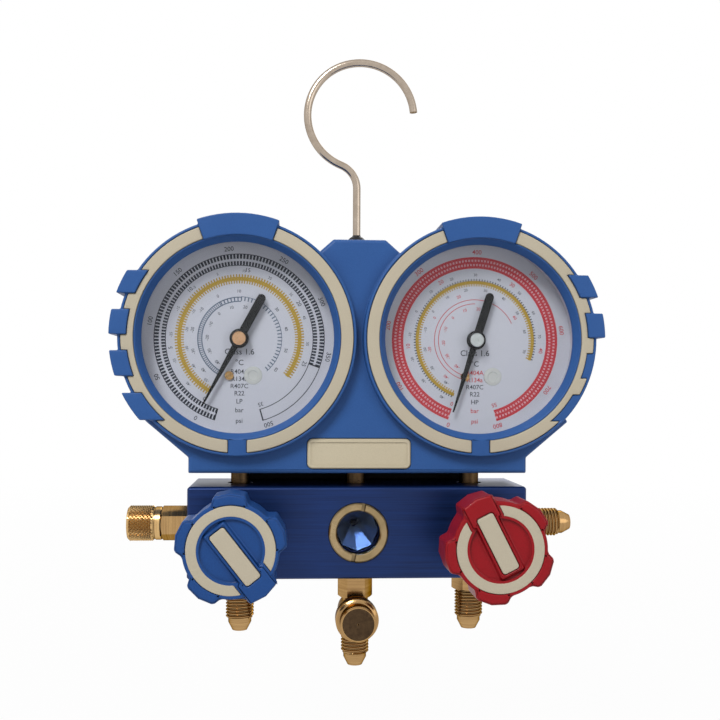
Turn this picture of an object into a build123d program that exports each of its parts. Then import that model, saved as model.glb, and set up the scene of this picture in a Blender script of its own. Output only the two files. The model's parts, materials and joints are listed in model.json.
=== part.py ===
from build123d import *
import math
import os

# Two-valve refrigerant manifold gauge.  Millimetres, +Z up, front towards -Y.
# The origin is the point of the hook that rests on a nail, on the hook's stem axis.
# The gauge stems, the hook and every port lie in the plane Y = 0.

# ---------------------------------------------------------------- driving dimensions
FIT = 0.05                 # radial clearance of a running fit
SEAT = 0.1                 # clearance round a fixed piece in its pocket
FREE = 0.3                 # clearance between pieces that must never rub

# hook
WIRE_D = 3.0
LOOP_R = 21.4              # centreline radius of the hook's loop
LOOP_SHIFT = 1.5           # loop centre to the right of the stem
LOOP_TIP = 5.2             # degrees above the loop's right-hand horizontal
BEND_R = 10.0              # reverse bend between stem and loop
HOOK_DROP = 52.7           # loop centre down to the housing's top
BUSH_R = 4.35
BUSH_H = 6.0
BUSH_NECK_R = 3.2
HOOK_NUT_R = 3.4
HOOK_NUT_H = 3.0

# the gauge case sets the size of what stands round it
CASE_R = 40.0
CASE_T = 0.8
CASE_GAP = 12.0            # between the two cases
PORT_PITCH = 2 * CASE_R + CASE_GAP     # left to right gauge, stem and valve

# housing
RIM_W = 4.7                # rim outside the case
RIM_R = CASE_R + RIM_W
RIM_FRONT = 23.5           # how far the rims stand forward of the stem plane
FACE_FRONT = 19.5
SHELL_BACK = 17.0
WALL = 2.5
GAUGE_CLEAR = 16.7         # case above the block's top
GAUGE_RISE = CASE_R + GAUGE_CLEAR
CROWN_RISE = 37.9          # top of the housing above the gauges' centres
HOUSING_RISE = GAUGE_RISE + CROWN_RISE
BASE_GAP = 5.3             # housing's base above the block's top
BASE_REACH = 18.7          # base's end beyond the gauge's centre
BASE_HALF = PORT_PITCH / 2 + BASE_REACH
BASE_STEP = 6.0            # upright part of the base's end
SHOULDER_INSET = 5.0       # shoulder inside the case's outer edge
SHOULDER_X = PORT_PITCH / 2 + CASE_R - SHOULDER_INSET
SHOULDER_RISE = 25.1       # above the block's top
CROWN_HALF = 10.0          # flat top that carries the hook
CROWN_SLOPE = 5.5
CROWN_DROP = 4.9
CROWN_FILLET = 1.6
OPENING_LIP = 3.8          # how far the opening's lip covers the case
OPENING_R = CASE_R - OPENING_LIP
LIP_T = 4.0
LIP_BEVEL = 2.0
INLAY_W = 4.8
INLAY_INSET = 1.2          # inlay's outer edge inside the rim's
INLAY_R_OUT = RIM_R - INLAY_INSET
INLAY_R_IN = INLAY_R_OUT - INLAY_W
INLAY_T = 2.5
INLAY_PROUD = 0.5
PAD_REACH = 3.0            # grip pads outside the rim
PAD_W = 6.5
PAD_R_OUT = RIM_R + PAD_REACH
PAD_R_IN = PAD_R_OUT - PAD_W
PAD_PROUD = 1.3
PAD_ROWS = (               # bottom and top of each grip pad above the gauge's centre
    (16.0, 24.5),
    (0.7, 10.0),
    (-14.8, -5.3),
    (-31.2, -21.1),
)
TAB_REACH = 1.7            # top tab outside the rim
TAB_R_OUT = RIM_R + TAB_REACH
TAB_HALF = 19.5            # degrees
NOTCH_W = 7.0
PLATE_W = 39.4
PLATE_H = 11.3
PLATE_T = 1.6
PLATE_PROUD = 0.4
PLATE_R = 2.0
PLATE_RISE = 12.8
BOSS_R = 3.2
SCREW_R = 1.5
SCREW_HEAD_R = 2.8
SCREW_HEAD_H = 2.0
SCREW_L = 24.0
SCREW_DROP = 10.9          # top screw below the housing's top
SCREW_SPREAD = 27.0        # lower middle screw below the gauge centres
SCREW_INSET = 6.0          # base screws in from the base's corner
SKIRT_HALF = 48.0
SKIRT_T = 3.0
SKIRT_BACK = 14.0
SPACER_R = 4.0

# pressure gauges
CASE_BACK = 12.0
BEZEL_W = 2.8
BEZEL_R_IN = CASE_R - BEZEL_W
LENS_T = 2.0
LENS_PLUG_R = 3.2
LENS_PLUG_RIM = 0.6
LENS_PLUG_PROUD = 0.5
LENS_PLUG_X = 5.6
LENS_PLUG_DROP = 14.3
DIAL_GAP = 1.2             # dial's edge inside the case's wall
DIAL_R = CASE_R - CASE_T - DIAL_GAP
DIAL_T = 0.8
DIAL_FRONT = 11.0
DIAL_SCREW_X = -3.9
DIAL_SCREW_DROP = 14.3
DIAL_SCREW_R = 1.7
DIAL_SCREW_CORE_R = 0.7
DIAL_SCREW_H = 0.7
DIAL_HOLE_R = 2.0
POINTER_L = 29.5
POINTER_TAIL = 19.3
POINTER_W = 3.3            # width of the tail
POINTER_ROOT_W = 2.7       # width of the blade at the hub
POINTER_TIP_W = 0.6
POINTER_T = 0.6
POINTER_FRONT = 13.6
POINTER_HUB_R = 3.7
POINTER_CAP_R = 3.0
LEFT_REST = 28.5           # degrees left of straight down
RIGHT_REST = 17.5
MODULE = 0.3
PINION_TEETH = 14
SECTOR_TEETH = 112         # of the whole circle that the quadrant is cut from
PRESSURE_ANGLE = 20.0
BACKLASH = 0.08
GEAR_T = 1.6
SECTOR_LEAD = 6.5          # degrees of teeth past the rest position
SECTOR_SWEEP = 41.0
TAIL_R = 4.2
TAIL_W = 2.2
TAIL_PIN_R = 0.6
TAIL_SLACK = 0.4           # lets the pin rise and fall as the quadrant turns
TUBE_PIN_R = 0.8
LINK_W = 1.4
LINK_EYE_R = 1.7
ARBOR_R = 0.8
PLATE_GAUGE = 1.0          # thickness of the movement's plates
FRAME_FRONT = 6.0
FRAME_BACK = 5.0
FRAME_FOOT_W = 22.0
FRAME_FOOT_H = 12.0
FRAME_NECK_W = 9.0
FRAME_RISE = 9.0           # plates' top above the pointer's arbor
PILLAR_R = 1.4
TOP_PILLAR_RISE = 7.0      # pillar above the pointer's arbor
LOW_PILLARS = (            # from the quadrant's pivot, clear of its swing
    (-9.0, -1.0),
    (9.0, 2.6),
)
TUBE_INSET = 9.0           # tube's centreline inside the case's outer edge
TUBE_R = CASE_R - TUBE_INSET
TUBE_W = 9.0
TUBE_H = 3.0
TUBE_WALL = 0.4
TUBE_Y = 2.0
TUBE_START = 267.5         # degrees, anticlockwise from +X
TUBE_END = -46.0
SOCKET_NECK_R = 3.75
SOCKET_HEX = 11.0
SOCKET_HALF_W = 6.5
SOCKET_FRONT = 4.0
SOCKET_BACK = 9.0
PIPE_R = 4.86              # one-eighth inch pipe thread
PIPE_L = 8.3
PASSAGE_R = 1.5

# manifold block
BLOCK_END = 19.2           # block's end beyond the gauge's centre
BLOCK_W = PORT_PITCH + 2 * BLOCK_END
BLOCK_D = 36.0
BLOCK_H = 35.3
BLOCK_CHAMFER = 0.8
SIDE_PORT_DROP = 16.1      # below the block's top
VALVE_DROP = 17.4
SIGHT_DROP = 17.6
SIGHT_R = 11.3
SIGHT_BORE_R = 8.3
SIGHT_RING_T = 4.4
SIGHT_PROUD = 0.8
SIGHT_SLOT_W = 1.6
SIGHT_SLOT_TILT = 11.0
SIGHT_LENS_T = 3.0
SEAL_R = 0.8
SIGHT_WELL = 5.0           # well floor in front of the stem plane
DRILL_R = 2.0
GALLERY_R = 2.3            # cross drilling behind the valve seats
WELL_DRILL_R = 1.6
WELL_HOLE_SHIFT = 1.0      # hole in the sight well, to the left of its middle
WELL_HOLE_RISE = 2.6

# valves
WHEEL_FRONT = 59.0
WHEEL_DEPTH = 16.0
WHEEL_LOBES = 5
LOBE_R = 19.4
VALLEY_R = 16.5
LOBE_HALF = 16.5
FLANK = 6.5
WHEEL_WALL = 2.2
WHEEL_HUB_R = 5.5
RING_R_OUT = 15.25
RING_R_IN = 11.5
RING_DEPTH = 1.4
WHEEL_RIM_SET = 0.6        # lobed rim behind the wheel's highest point
DISC_SET = 1.6             # recessed disc behind the highest point
RIDGE_W = 10.8
LABEL_L = 21.0
LABEL_W = 6.1
LABEL_T = 1.4
LABEL_SHIFT = 2.4
LEFT_TURN = -52.0          # direction of the ridge, degrees from +X
RIGHT_TURN = 117.0
SPINDLE_R = 3.0
SPINDLE_TIP_R = 2.0
SPINDLE_TIP_L = 3.6
WHEEL_SCREW_R = 1.5
WHEEL_SCREW_HEAD_R = 2.7
WHEEL_SCREW_HEAD_H = 1.8
WHEEL_SCREW_L = 8.0
BONNET_R = 7.0
BONNET_L = 8.0
BONNET_HEX = 16.0
BONNET_HEX_L = 8.0
GLAND_R = 6.0
GLAND_L = 7.0
PISTON_R = 4.6
PISTON_BORE_R = 5.0
PISTON_FRONT = 6.0
PISTON_BACK = 6.0
PISTON_SEAL = 4.2          # O-ring forward of the stem plane, clear of the drillings
NOSE_T = 1.7

# ports: 7/16-20 flare for quarter-inch hoses
FLARE_R = 5.56
FLARE_NOSE_R = 4.6
FLARE_TIP_R = 2.9
THREAD_CHAMFER = 0.7
FLARE_THREAD_L = 10.8
FLARE_NECK_L = 1.6         # straight part of the nose
FLARE_NOSE_L = 4.8
PORT_HEX = 12.0
HOSE_HEX_L = 7.6
PARK_HEX_L = 6.2
PARK_HEX_TURN = 30.0       # degrees, so that a flat of the side ports' hexes faces front
CAPPED_HEX_L = 11.6
CAPPED_THREAD_L = 7.2      # short thread that the knurled cap covers, nose and all
TEE_HEX = 12.0
TEE_HEX_L = 10.4
TEE_DROP = 16.9            # branch axis below the block's underside
TEE_BODY_R = 6.6
TEE_SHOULDER = 8.2         # shoulder of the branch in front of the stem plane
TEE_L = 23.9               # underside of the block to the lower thread's start
TEE_THREAD_L = 8.8
BRANCH_L = 10.0
CAP_RIM_R = 8.4
CAP_RIM_L = 6.0
CAP_NOSE_R = 6.85
CAP_L = 12.2
CAP_BORE_R = 5.9
CORE_R = 1.6
CORE_BORE_R = 2.3
CORE_L = 7.0
CORE_SET = 1.6             # sleeve's front inside the branch's mouth
CORE_PIN_R = 0.7
CORE_PIN_PROUD = 1.2
CORE_HEAD_T = 1.0
PARK_CAP_R = 7.1
PARK_CAP_L = 13.2
PARK_KNURL_L = 10.4
PARK_COLLAR_R = 6.6
KNURLS = 30
KNURL_DEPTH = 0.35

# ---------------------------------------------------------------- places worked out
PX = PORT_PITCH / 2
WIRE_R = WIRE_D / 2
LOOP_Z = -math.sqrt((LOOP_R - WIRE_R) ** 2 - LOOP_SHIFT ** 2)
CROWN_Z = LOOP_Z - HOOK_DROP
DECK = CROWN_Z - HOUSING_RISE          # top of the block
UNDER = DECK - BLOCK_H                 # underside of the block
GZ = DECK + GAUGE_RISE
BASE_Z = DECK + BASE_GAP
PLATE_Z = DECK + PLATE_RISE
SIDE_Z = DECK - SIDE_PORT_DROP
VALVE_Z = DECK - VALVE_DROP
SIGHT_Z = DECK - SIGHT_DROP
BLOCK_FRONT = BLOCK_D / 2
SEAT_Y = -(RIM_FRONT - LIP_T)          # back of the opening's lip
CASE_FRONT = SEAT_Y + FREE             # front of the gauge case
LENS_FRONT = CASE_FRONT + CASE_T
PINION_R = MODULE * PINION_TEETH / 2
SECTOR_R = MODULE * SECTOR_TEETH / 2
SECTOR_DROP = PINION_R + SECTOR_R      # quadrant's pivot below the pointer
PIVOT_Z = GZ - SECTOR_DROP
TEE_Z = UNDER - TEE_DROP
SIDES = (("left", -1), ("right", 1))
SCREW_PLACES = (
    (0, CROWN_Z - SCREW_DROP),
    (0, GZ - SCREW_SPREAD),
    (-BASE_HALF + SCREW_INSET, BASE_Z + SCREW_INSET + 1),
    (BASE_HALF - SCREW_INSET, BASE_Z + SCREW_INSET + 1),
)


# ---------------------------------------------------------------- helpers
def view_plane(y):
    """Plane seen from the front at depth y: local x is +X, local y is +Z."""
    return Plane(origin=(0, y, 0), x_dir=(1, 0, 0), z_dir=(0, -1, 0))


def slab(sketch, front, back):
    """Extrude a front-view sketch from y = back forward to y = front."""
    return extrude(view_plane(back) * sketch, amount=back - front)


def rod_y(x, z, r, front, back):
    return slab(Pos(x, z) * Circle(r), front, back)


def rod_z(x, y, r, low, high):
    return Pos(x, y, (low + high) / 2) * Cylinder(r, high - low)


def rod_x(y, z, r, low, high):
    return Pos((low + high) / 2, y, z) * Rot(0, 90, 0) * Cylinder(r, high - low)


def box(x0, x1, y0, y1, z0, z1):
    centre = Pos((x0 + x1) / 2, (y0 + y1) / 2, (z0 + z1) / 2)
    return centre * Box(x1 - x0, y1 - y0, z1 - z0)


def polar(r, degrees):
    return (r * math.cos(math.radians(degrees)), r * math.sin(math.radians(degrees)))


def wedge(middle, half, reach):
    """Triangle from the centre that covers the angles middle - half to middle + half."""
    corners = ((0, 0), polar(reach, middle - half), polar(reach, middle + half))
    return make_face(Polyline(*corners, close=True))


def annulus(r_out, r_in):
    return Circle(r_out) - Circle(r_in)


def pad(r_in, r_out, middle, half):
    return annulus(r_out, r_in) & wedge(middle, half, 2 * r_out)


def turned(points, axis):
    """Solid of revolution about Z (points as radius, height) or laid along another axis."""
    profile = Plane.XZ * make_face(Polyline(*points, close=True))
    solid = revolve(profile, axis=Axis.Z)
    turns = {"z": Rot(0, 0, 0), "-z": Rot(180, 0, 0), "x": Rot(0, 90, 0),
             "-x": Rot(0, -90, 0), "-y": Rot(90, 0, 0)}
    return turns[axis] * solid


def torus_y(x, z, ring_r, wire_r, y):
    return Pos(x, y, z) * Rot(90, 0, 0) * Torus(ring_r, wire_r)


def hexagon(across_flats, turn=0.0):
    return Rot(0, 0, turn) * RegularPolygon(across_flats / 2, 6, major_radius=False)


def save(name, *solids):
    shape = solids[0] if len(solids) == 1 else Compound(children=list(solids))
    export_step(shape, f"parts/{name}.step")


# ---------------------------------------------------------------- housing
def housing_outline():
    """Front view of the moulded housing, without its pads and tabs."""
    ring = Pos(-PX, GZ) * Circle(RIM_R) + Pos(PX, GZ) * Circle(RIM_R)
    half = [
        (BASE_HALF, BASE_Z),
        (BASE_HALF, BASE_Z + BASE_STEP),
        (SHOULDER_X, DECK + SHOULDER_RISE),
        (PX + RIM_R / 3, GZ),
        (CROWN_HALF + CROWN_SLOPE, CROWN_Z - CROWN_DROP),
        (CROWN_HALF, CROWN_Z),
    ]
    mirrored = [(-x, z) for x, z in reversed(half)]
    body = make_face(Polyline(*half, *mirrored, close=True))
    crown = [v for v in body.vertices() if v.Y > CROWN_Z - CROWN_DROP / 2]
    return ring + fillet(crown, CROWN_FILLET)


def gauge_grips(side):
    """Grip pads beside the rim and the tab over it, as a sketch about the gauge's centre."""
    shape = pad(INLAY_R_IN - LIP_BEVEL / 4, TAB_R_OUT, 90, TAB_HALF)
    for low, high in PAD_ROWS:
        row = Pos(side * PAD_R_OUT / 2, (low + high) / 2) * Rectangle(PAD_R_OUT, high - low)
        shape += annulus(PAD_R_OUT, PAD_R_IN) & row
    return shape


def notch():
    """Bridge of the rim across the inlay at the bottom."""
    middle = -(INLAY_R_IN + INLAY_R_OUT) / 2
    return Pos(0, middle) * Rectangle(NOTCH_W, INLAY_R_OUT - INLAY_R_IN + 2)


def inlay_sketch(side, clear):
    band = annulus(INLAY_R_OUT - clear, INLAY_R_IN + clear)
    return band - offset(gauge_grips(side), clear) - offset(notch(), clear)


def hollow(depth_front, depth_back):
    inner = offset(housing_outline(), -WALL)
    return slab(inner, depth_front, depth_back)


def stem_holes():
    holes = rod_z(0, 0, BUSH_NECK_R + SEAT, CROWN_Z - 2 * WALL, CROWN_Z + 1)
    for _, side in SIDES:
        holes += rod_z(side * PX, 0, SOCKET_NECK_R + FREE, BASE_Z - 1, BASE_Z + 2 * WALL)
    return holes


def make_housing_front():
    outer = slab(housing_outline(), -FACE_FRONT, 0)
    rim_edges = outer.faces().sort_by(Axis.Y)[0].edges()
    outer = chamfer(rim_edges, 1.0)
    for _, side in SIDES:
        centre = Pos(side * PX, GZ)
        outer += slab(centre * Circle(RIM_R), -RIM_FRONT, 0)
        outer += slab(centre * gauge_grips(side), -(RIM_FRONT + PAD_PROUD), 0)
    shell = outer - hollow(-(FACE_FRONT - WALL), 0)
    for x, z in SCREW_PLACES:
        shell += rod_y(x, z, BOSS_R, -(FACE_FRONT - WALL / 2), 0)
        shell -= rod_y(x, z, SCREW_R, -(SCREW_L - SHELL_BACK + 5), 0)
    for _, side in SIDES:
        centre = Pos(side * PX, GZ)
        shell -= slab(centre * Circle(CASE_R + FREE), SEAT_Y, 0)
        shell -= slab(centre * Circle(OPENING_R), -(RIM_FRONT + 9), 0)
        bevel = turned([(OPENING_R, 0), (OPENING_R + LIP_BEVEL, LIP_T - 1), (OPENING_R + LIP_BEVEL, 9),
                        (0, 9), (0, 0)], "-y")
        shell -= Pos(side * PX, SEAT_Y + 1 - 2, GZ) * bevel
        groove = inlay_sketch(side, 0)
        shell -= slab(centre * groove, -(RIM_FRONT + 9), -(RIM_FRONT - INLAY_T + INLAY_PROUD))
    pocket = RectangleRounded(PLATE_W + 2 * SEAT, PLATE_H + 2 * SEAT, PLATE_R)
    shell -= slab(Pos(0, PLATE_Z) * pocket, -(FACE_FRONT + 9), -(FACE_FRONT - PLATE_T + PLATE_PROUD))
    return shell - stem_holes()


def make_housing_rear():
    outer = slab(housing_outline(), 0, SHELL_BACK)
    rear_edges = outer.faces().sort_by(Axis.Y)[-1].edges()
    outer = chamfer(rear_edges, 1.2)
    shell = outer - hollow(0, SHELL_BACK - WALL)
    for _, side in SIDES:
        centre = Pos(side * PX, GZ)
        shell -= slab(centre * Circle(CASE_R + FREE), 0, CASE_BACK + SEAT)
        rest = annulus(CASE_R * 0.75, CASE_R * 0.75 - WALL)
        shell += slab(centre * rest, CASE_BACK + SEAT, SHELL_BACK - WALL)
    for x, z in SCREW_PLACES:
        shell += rod_y(x, z, BOSS_R + 0.8, 0, SHELL_BACK - WALL / 2)
        shell -= rod_y(x, z, SCREW_R + FREE, 0, SHELL_BACK)
        shell -= rod_y(x, z, SCREW_HEAD_R + FREE, SHELL_BACK - SCREW_HEAD_H - 1, SHELL_BACK)
    skirt_front, skirt_top = SKIRT_BACK - SKIRT_T, BASE_Z + WALL / 2
    shell += box(-SKIRT_HALF, SKIRT_HALF, skirt_front, SKIRT_BACK, DECK + FREE, skirt_top)
    return shell - stem_holes()


def screw_along_y(x, z, head_back, r, head_r, head_h, length):
    """Pan-head screw with a cross recess; the head's back face is at y = head_back."""
    head = rod_y(x, z, head_r, head_back - head_h, head_back)
    head = fillet(head.faces().sort_by(Axis.Y)[-1].edges(), head_h * 0.3)
    arm = head_r * 1.1
    for turn in (0, 90):
        cross = Pos(x, z) * Rot(0, 0, turn) * Rectangle(arm, head_r * 0.3)
        head -= slab(cross, head_back - head_h * 0.5, head_back)
    return head + rod_y(x, z, r - SEAT, head_back - head_h - length, head_back - head_h)


def make_hook():
    rise = math.sqrt((LOOP_R + BEND_R) ** 2 - (LOOP_SHIFT + BEND_R) ** 2)
    bend_z = LOOP_Z - rise
    turn = math.degrees(math.atan2(rise, LOOP_SHIFT + BEND_R))
    foot = CROWN_Z - WALL - SEAT - FREE - HOOK_NUT_H
    stem = Line((0, 0, foot), (0, 0, bend_z))
    bend_plane = Plane(origin=(-BEND_R, 0, bend_z), x_dir=(1, 0, 0), z_dir=(0, -1, 0))
    bend = bend_plane * CenterArc((0, 0), BEND_R, 0, turn)
    loop_plane = Plane(origin=(LOOP_SHIFT, 0, LOOP_Z), x_dir=(1, 0, 0), z_dir=(0, -1, 0))
    loop = loop_plane * CenterArc((0, 0), LOOP_R, 180 + turn, LOOP_TIP - 180 - turn)
    path = Wire([stem.edge(), bend.edge(), loop.edge()])
    return sweep(Plane(origin=(0, 0, foot), z_dir=(0, 0, 1)) * Circle(WIRE_R), path=path)


def make_hook_bush():
    profile = [
        (WIRE_R + FIT, -WALL - SEAT),
        (BUSH_NECK_R, -WALL - SEAT),
        (BUSH_NECK_R, 0),
        (BUSH_R, 0),
        (BUSH_R, BUSH_H * 0.6),
        (BUSH_R * 0.8, BUSH_H * 0.9),
        (BUSH_R * 0.55, BUSH_H),
        (WIRE_R + FIT, BUSH_H),
    ]
    return Pos(0, 0, CROWN_Z) * turned(profile, "z")


def make_hook_nut():
    top = CROWN_Z - WALL - SEAT - FREE
    return rod_z(0, 0, HOOK_NUT_R, top - HOOK_NUT_H, top) - rod_z(0, 0, WIRE_R, top - HOOK_NUT_H, top)


def build_housing():
    save("housing_front", make_housing_front())
    save("housing_rear", make_housing_rear())
    head_back = SHELL_BACK - 1
    screws = [
        screw_along_y(x, z, head_back, SCREW_R, SCREW_HEAD_R, SCREW_HEAD_H, SCREW_L - SCREW_HEAD_H)
        for x, z in SCREW_PLACES
    ]
    save("housing_screws", *screws)
    for name, side in SIDES:
        band = Pos(side * PX, GZ) * inlay_sketch(side, SEAT)
        inlay_front = -(RIM_FRONT + INLAY_PROUD)
        save(f"{name}_ring_inlay", slab(band, inlay_front, inlay_front + INLAY_T))
    plate = Pos(0, PLATE_Z) * RectangleRounded(PLATE_W, PLATE_H, PLATE_R)
    save("name_plate", slab(plate, -(FACE_FRONT + PLATE_PROUD), -(FACE_FRONT + PLATE_PROUD - PLATE_T)))
    save("hook", make_hook())
    save("hook_bush", make_hook_bush())
    save("hook_nut", make_hook_nut())
    save("centre_spacer", rod_z(0, 0, SPACER_R, DECK, BASE_Z))


# ---------------------------------------------------------------- gauges
def involute(angle):
    return math.tan(angle) - angle


def tooth_sketch(teeth, r_root, r_tip, at):
    """One involute tooth, centred on the direction at (degrees)."""
    pitch_r = MODULE * teeth / 2
    pressure = math.radians(PRESSURE_ANGLE)
    base_r = pitch_r * math.cos(pressure)
    half_at_pitch = math.pi / (2 * teeth) - BACKLASH / (4 * pitch_r)
    steps = 5
    flank = []
    for step in range(steps + 1):
        r = r_root + (r_tip - r_root) * step / steps
        roll = math.acos(min(1.0, base_r / r))
        half = half_at_pitch + involute(pressure) - involute(roll)
        flank.append((r, math.degrees(half)))
    inner = r_root - MODULE / 2
    right = [polar(inner, at - flank[0][1])] + [polar(r, at - half) for r, half in flank]
    left = [polar(r, at + half) for r, half in reversed(flank)] + [polar(inner, at + flank[0][1])]
    return make_face(Polyline(*right, *left, close=True))


def make_pinion(x):
    """Pointer arbor with its pinion; a gap between teeth faces the quadrant at rest."""
    root = PINION_R - 1.25 * MODULE
    gear = Circle(root)
    for count in range(PINION_TEETH):
        at = -90 + (count + 0.5) * 360 / PINION_TEETH
        gear += tooth_sketch(PINION_TEETH, root, PINION_R + MODULE * 0.9, at)
    solid = slab(Pos(x, GZ) * gear, -GEAR_T / 2, GEAR_T / 2)
    return solid + rod_y(x, GZ, ARBOR_R, -POINTER_FRONT, FRAME_BACK)


def make_sector(x):
    """Toothed quadrant on its arbor, with the tail and pin that the link pulls."""
    root = SECTOR_R - 1.25 * MODULE
    step = 360 / SECTOR_TEETH
    lead = round(SECTOR_LEAD / step)
    trail = round((SECTOR_SWEEP + SECTOR_LEAD) / step)
    start, stop = 90 - trail * step, 90 + lead * step
    middle, half = (start + stop) / 2, (stop - start) / 2 + step / 2
    blade = pad(0.1, root, middle, half)
    web = pad(ARBOR_R * 4, root - 2.5, middle, half - 12)
    gear = blade - web + Circle(ARBOR_R * 3)
    for count in range(-trail, lead + 1):
        gear += tooth_sketch(SECTOR_TEETH, root, SECTOR_R + MODULE * 0.9, 90 + count * step)
    pin_x, pin_z = polar(TAIL_R, -90 - SECTOR_SWEEP / 2)
    arm = Rot(0, 0, -90 - SECTOR_SWEEP / 2) * Pos(TAIL_R / 2, 0) * Rectangle(TAIL_R, TAIL_W)
    gear += arm + Pos(pin_x, pin_z) * Circle(TAIL_W / 2)
    solid = slab(Pos(x, PIVOT_Z) * gear, -GEAR_T / 2, GEAR_T / 2)
    solid += rod_y(x, PIVOT_Z, ARBOR_R, -FRAME_FRONT, FRAME_BACK)
    return solid + rod_y(x + pin_x, PIVOT_Z + pin_z, TAIL_PIN_R, -link_front() - SEAT, 0)


def link_front():
    """How far the link's front face stands forward of the stem plane."""
    return TUBE_W / 2 - TUBE_Y + FREE + 0.1 + PLATE_GAUGE


def make_link(x):
    """Flat link from the tube's tip to the quadrant's tail."""
    pin_x, pin_z = polar(TAIL_R, -90 - SECTOR_SWEEP / 2)
    tip_x = TUBE_R * math.cos(math.radians(TUBE_END))
    z = PIVOT_Z + pin_z
    bar = Pos(x + (pin_x + tip_x) / 2, z) * Rectangle(tip_x - pin_x, LINK_W)
    eyes = Pos(x + pin_x, z) * Circle(LINK_EYE_R) + Pos(x + tip_x, z) * Circle(LINK_EYE_R)
    holes = Pos(x + pin_x, z) * Circle(TAIL_PIN_R + TAIL_SLACK) + Pos(x + tip_x, z) * Circle(TUBE_PIN_R)
    return slab(bar + eyes - holes, -link_front(), -link_front() + PLATE_GAUGE)


def make_movement_frame(x):
    """Two plates on three pillars, bored for both arbors, with the dial's standoff."""
    foot = Pos(x, PIVOT_Z) * Rectangle(FRAME_FOOT_W, FRAME_FOOT_H)
    top = GZ + FRAME_RISE
    neck = Pos(x, (PIVOT_Z + top) / 2) * Rectangle(FRAME_NECK_W, top - PIVOT_Z)
    plate = foot + neck
    frame = slab(plate, -FRAME_FRONT, -FRAME_FRONT + PLATE_GAUGE)
    frame += slab(plate, FRAME_BACK - PLATE_GAUGE, FRAME_BACK)
    frame += rod_y(x, GZ + TOP_PILLAR_RISE, PILLAR_R, -FRAME_FRONT, FRAME_BACK)
    for px, pz in LOW_PILLARS:
        frame += rod_y(x + px, PIVOT_Z + pz, PILLAR_R, -FRAME_FRONT, FRAME_BACK)
    screw_x, screw_z = x + DIAL_SCREW_X, GZ - DIAL_SCREW_DROP
    frame += rod_y(screw_x, screw_z, PILLAR_R, -(DIAL_FRONT - DIAL_T), -FRAME_FRONT)
    for z in (GZ, PIVOT_Z):
        frame -= rod_y(x, z, ARBOR_R + FIT, -FRAME_FRONT, FRAME_BACK)
    return frame - rod_y(screw_x, screw_z, DIAL_SCREW_CORE_R + SEAT, -DIAL_FRONT, -FRAME_FRONT)


def ring_y(x, z, r_mid, width, height, y, start, stop):
    """Arc of rectangular section round (x, z), anticlockwise in the front view from start to stop."""
    section = Pos(r_mid, 0, 0) * Rectangle(height, width)
    solid = revolve(section, axis=Axis((0, 0, 0), (0, -1, 0)), revolution_arc=stop - start)
    return Pos(x, y, z) * Rot(0, -start, 0) * solid


def make_bourdon_tube(x):
    """Flattened C-shaped tube, open where the socket feeds it and closed at its tip."""
    tube = ring_y(x, GZ, TUBE_R, TUBE_W, TUBE_H, TUBE_Y, TUBE_END, TUBE_START)
    inner_w, inner_h = TUBE_W - 2 * TUBE_WALL, TUBE_H - 2 * TUBE_WALL
    return tube - ring_y(x, GZ, TUBE_R, inner_w, inner_h, TUBE_Y, TUBE_END + 2, TUBE_START)


def make_socket(x):
    """Brass stem: pipe thread, neck, hex, and the block that holds tube and movement."""
    stem = rod_z(x, 0, PIPE_R - SEAT, DECK - PIPE_L, DECK - 1)
    tube_low = GZ - TUBE_R - TUBE_H / 2
    stem += rod_z(x, 0, SOCKET_NECK_R, DECK - PIPE_L, tube_low)
    hex_low = BASE_Z + WALL + FREE
    stem += Pos(x, 0, hex_low) * extrude(hexagon(SOCKET_HEX), amount=GZ - CASE_R - FREE - hex_low)
    left, right = x - SOCKET_HALF_W, x + SOCKET_HALF_W
    stem += box(left, right, -SOCKET_FRONT, SOCKET_BACK, tube_low - TUBE_H, tube_low + TUBE_H + 2)
    stem += box(left, right, FRAME_BACK, SOCKET_BACK, tube_low, PIVOT_Z + FRAME_FOOT_H / 3)
    slot_w, slot_h = TUBE_W + 2 * FIT, TUBE_H + 2 * FIT
    slot = ring_y(x, GZ, TUBE_R, slot_w, slot_h, TUBE_Y, TUBE_START - 20, TUBE_START + 0.2)
    return stem - slot - rod_z(x, 0, PASSAGE_R, DECK - PIPE_L, GZ - TUBE_R)


def make_case(x):
    """Deep-drawn case with a rolled bezel, open at the front and at the stem."""
    shell = rod_y(x, GZ, CASE_R, CASE_FRONT, CASE_BACK)
    shell -= rod_y(x, GZ, CASE_R - CASE_T, LENS_FRONT, CASE_BACK - CASE_T)
    shell -= rod_y(x, GZ, BEZEL_R_IN, CASE_FRONT, LENS_FRONT)
    bead = annulus(CASE_R - CASE_T / 2, CASE_R - CASE_T - 1.2)
    shell += slab(Pos(x, GZ) * bead, LENS_FRONT + LENS_T + SEAT, LENS_FRONT + LENS_T + SEAT + 1)
    return shell - rod_z(x, 0, SOCKET_NECK_R + FREE, GZ - CASE_R - 1, GZ - CASE_R + 3)


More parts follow.
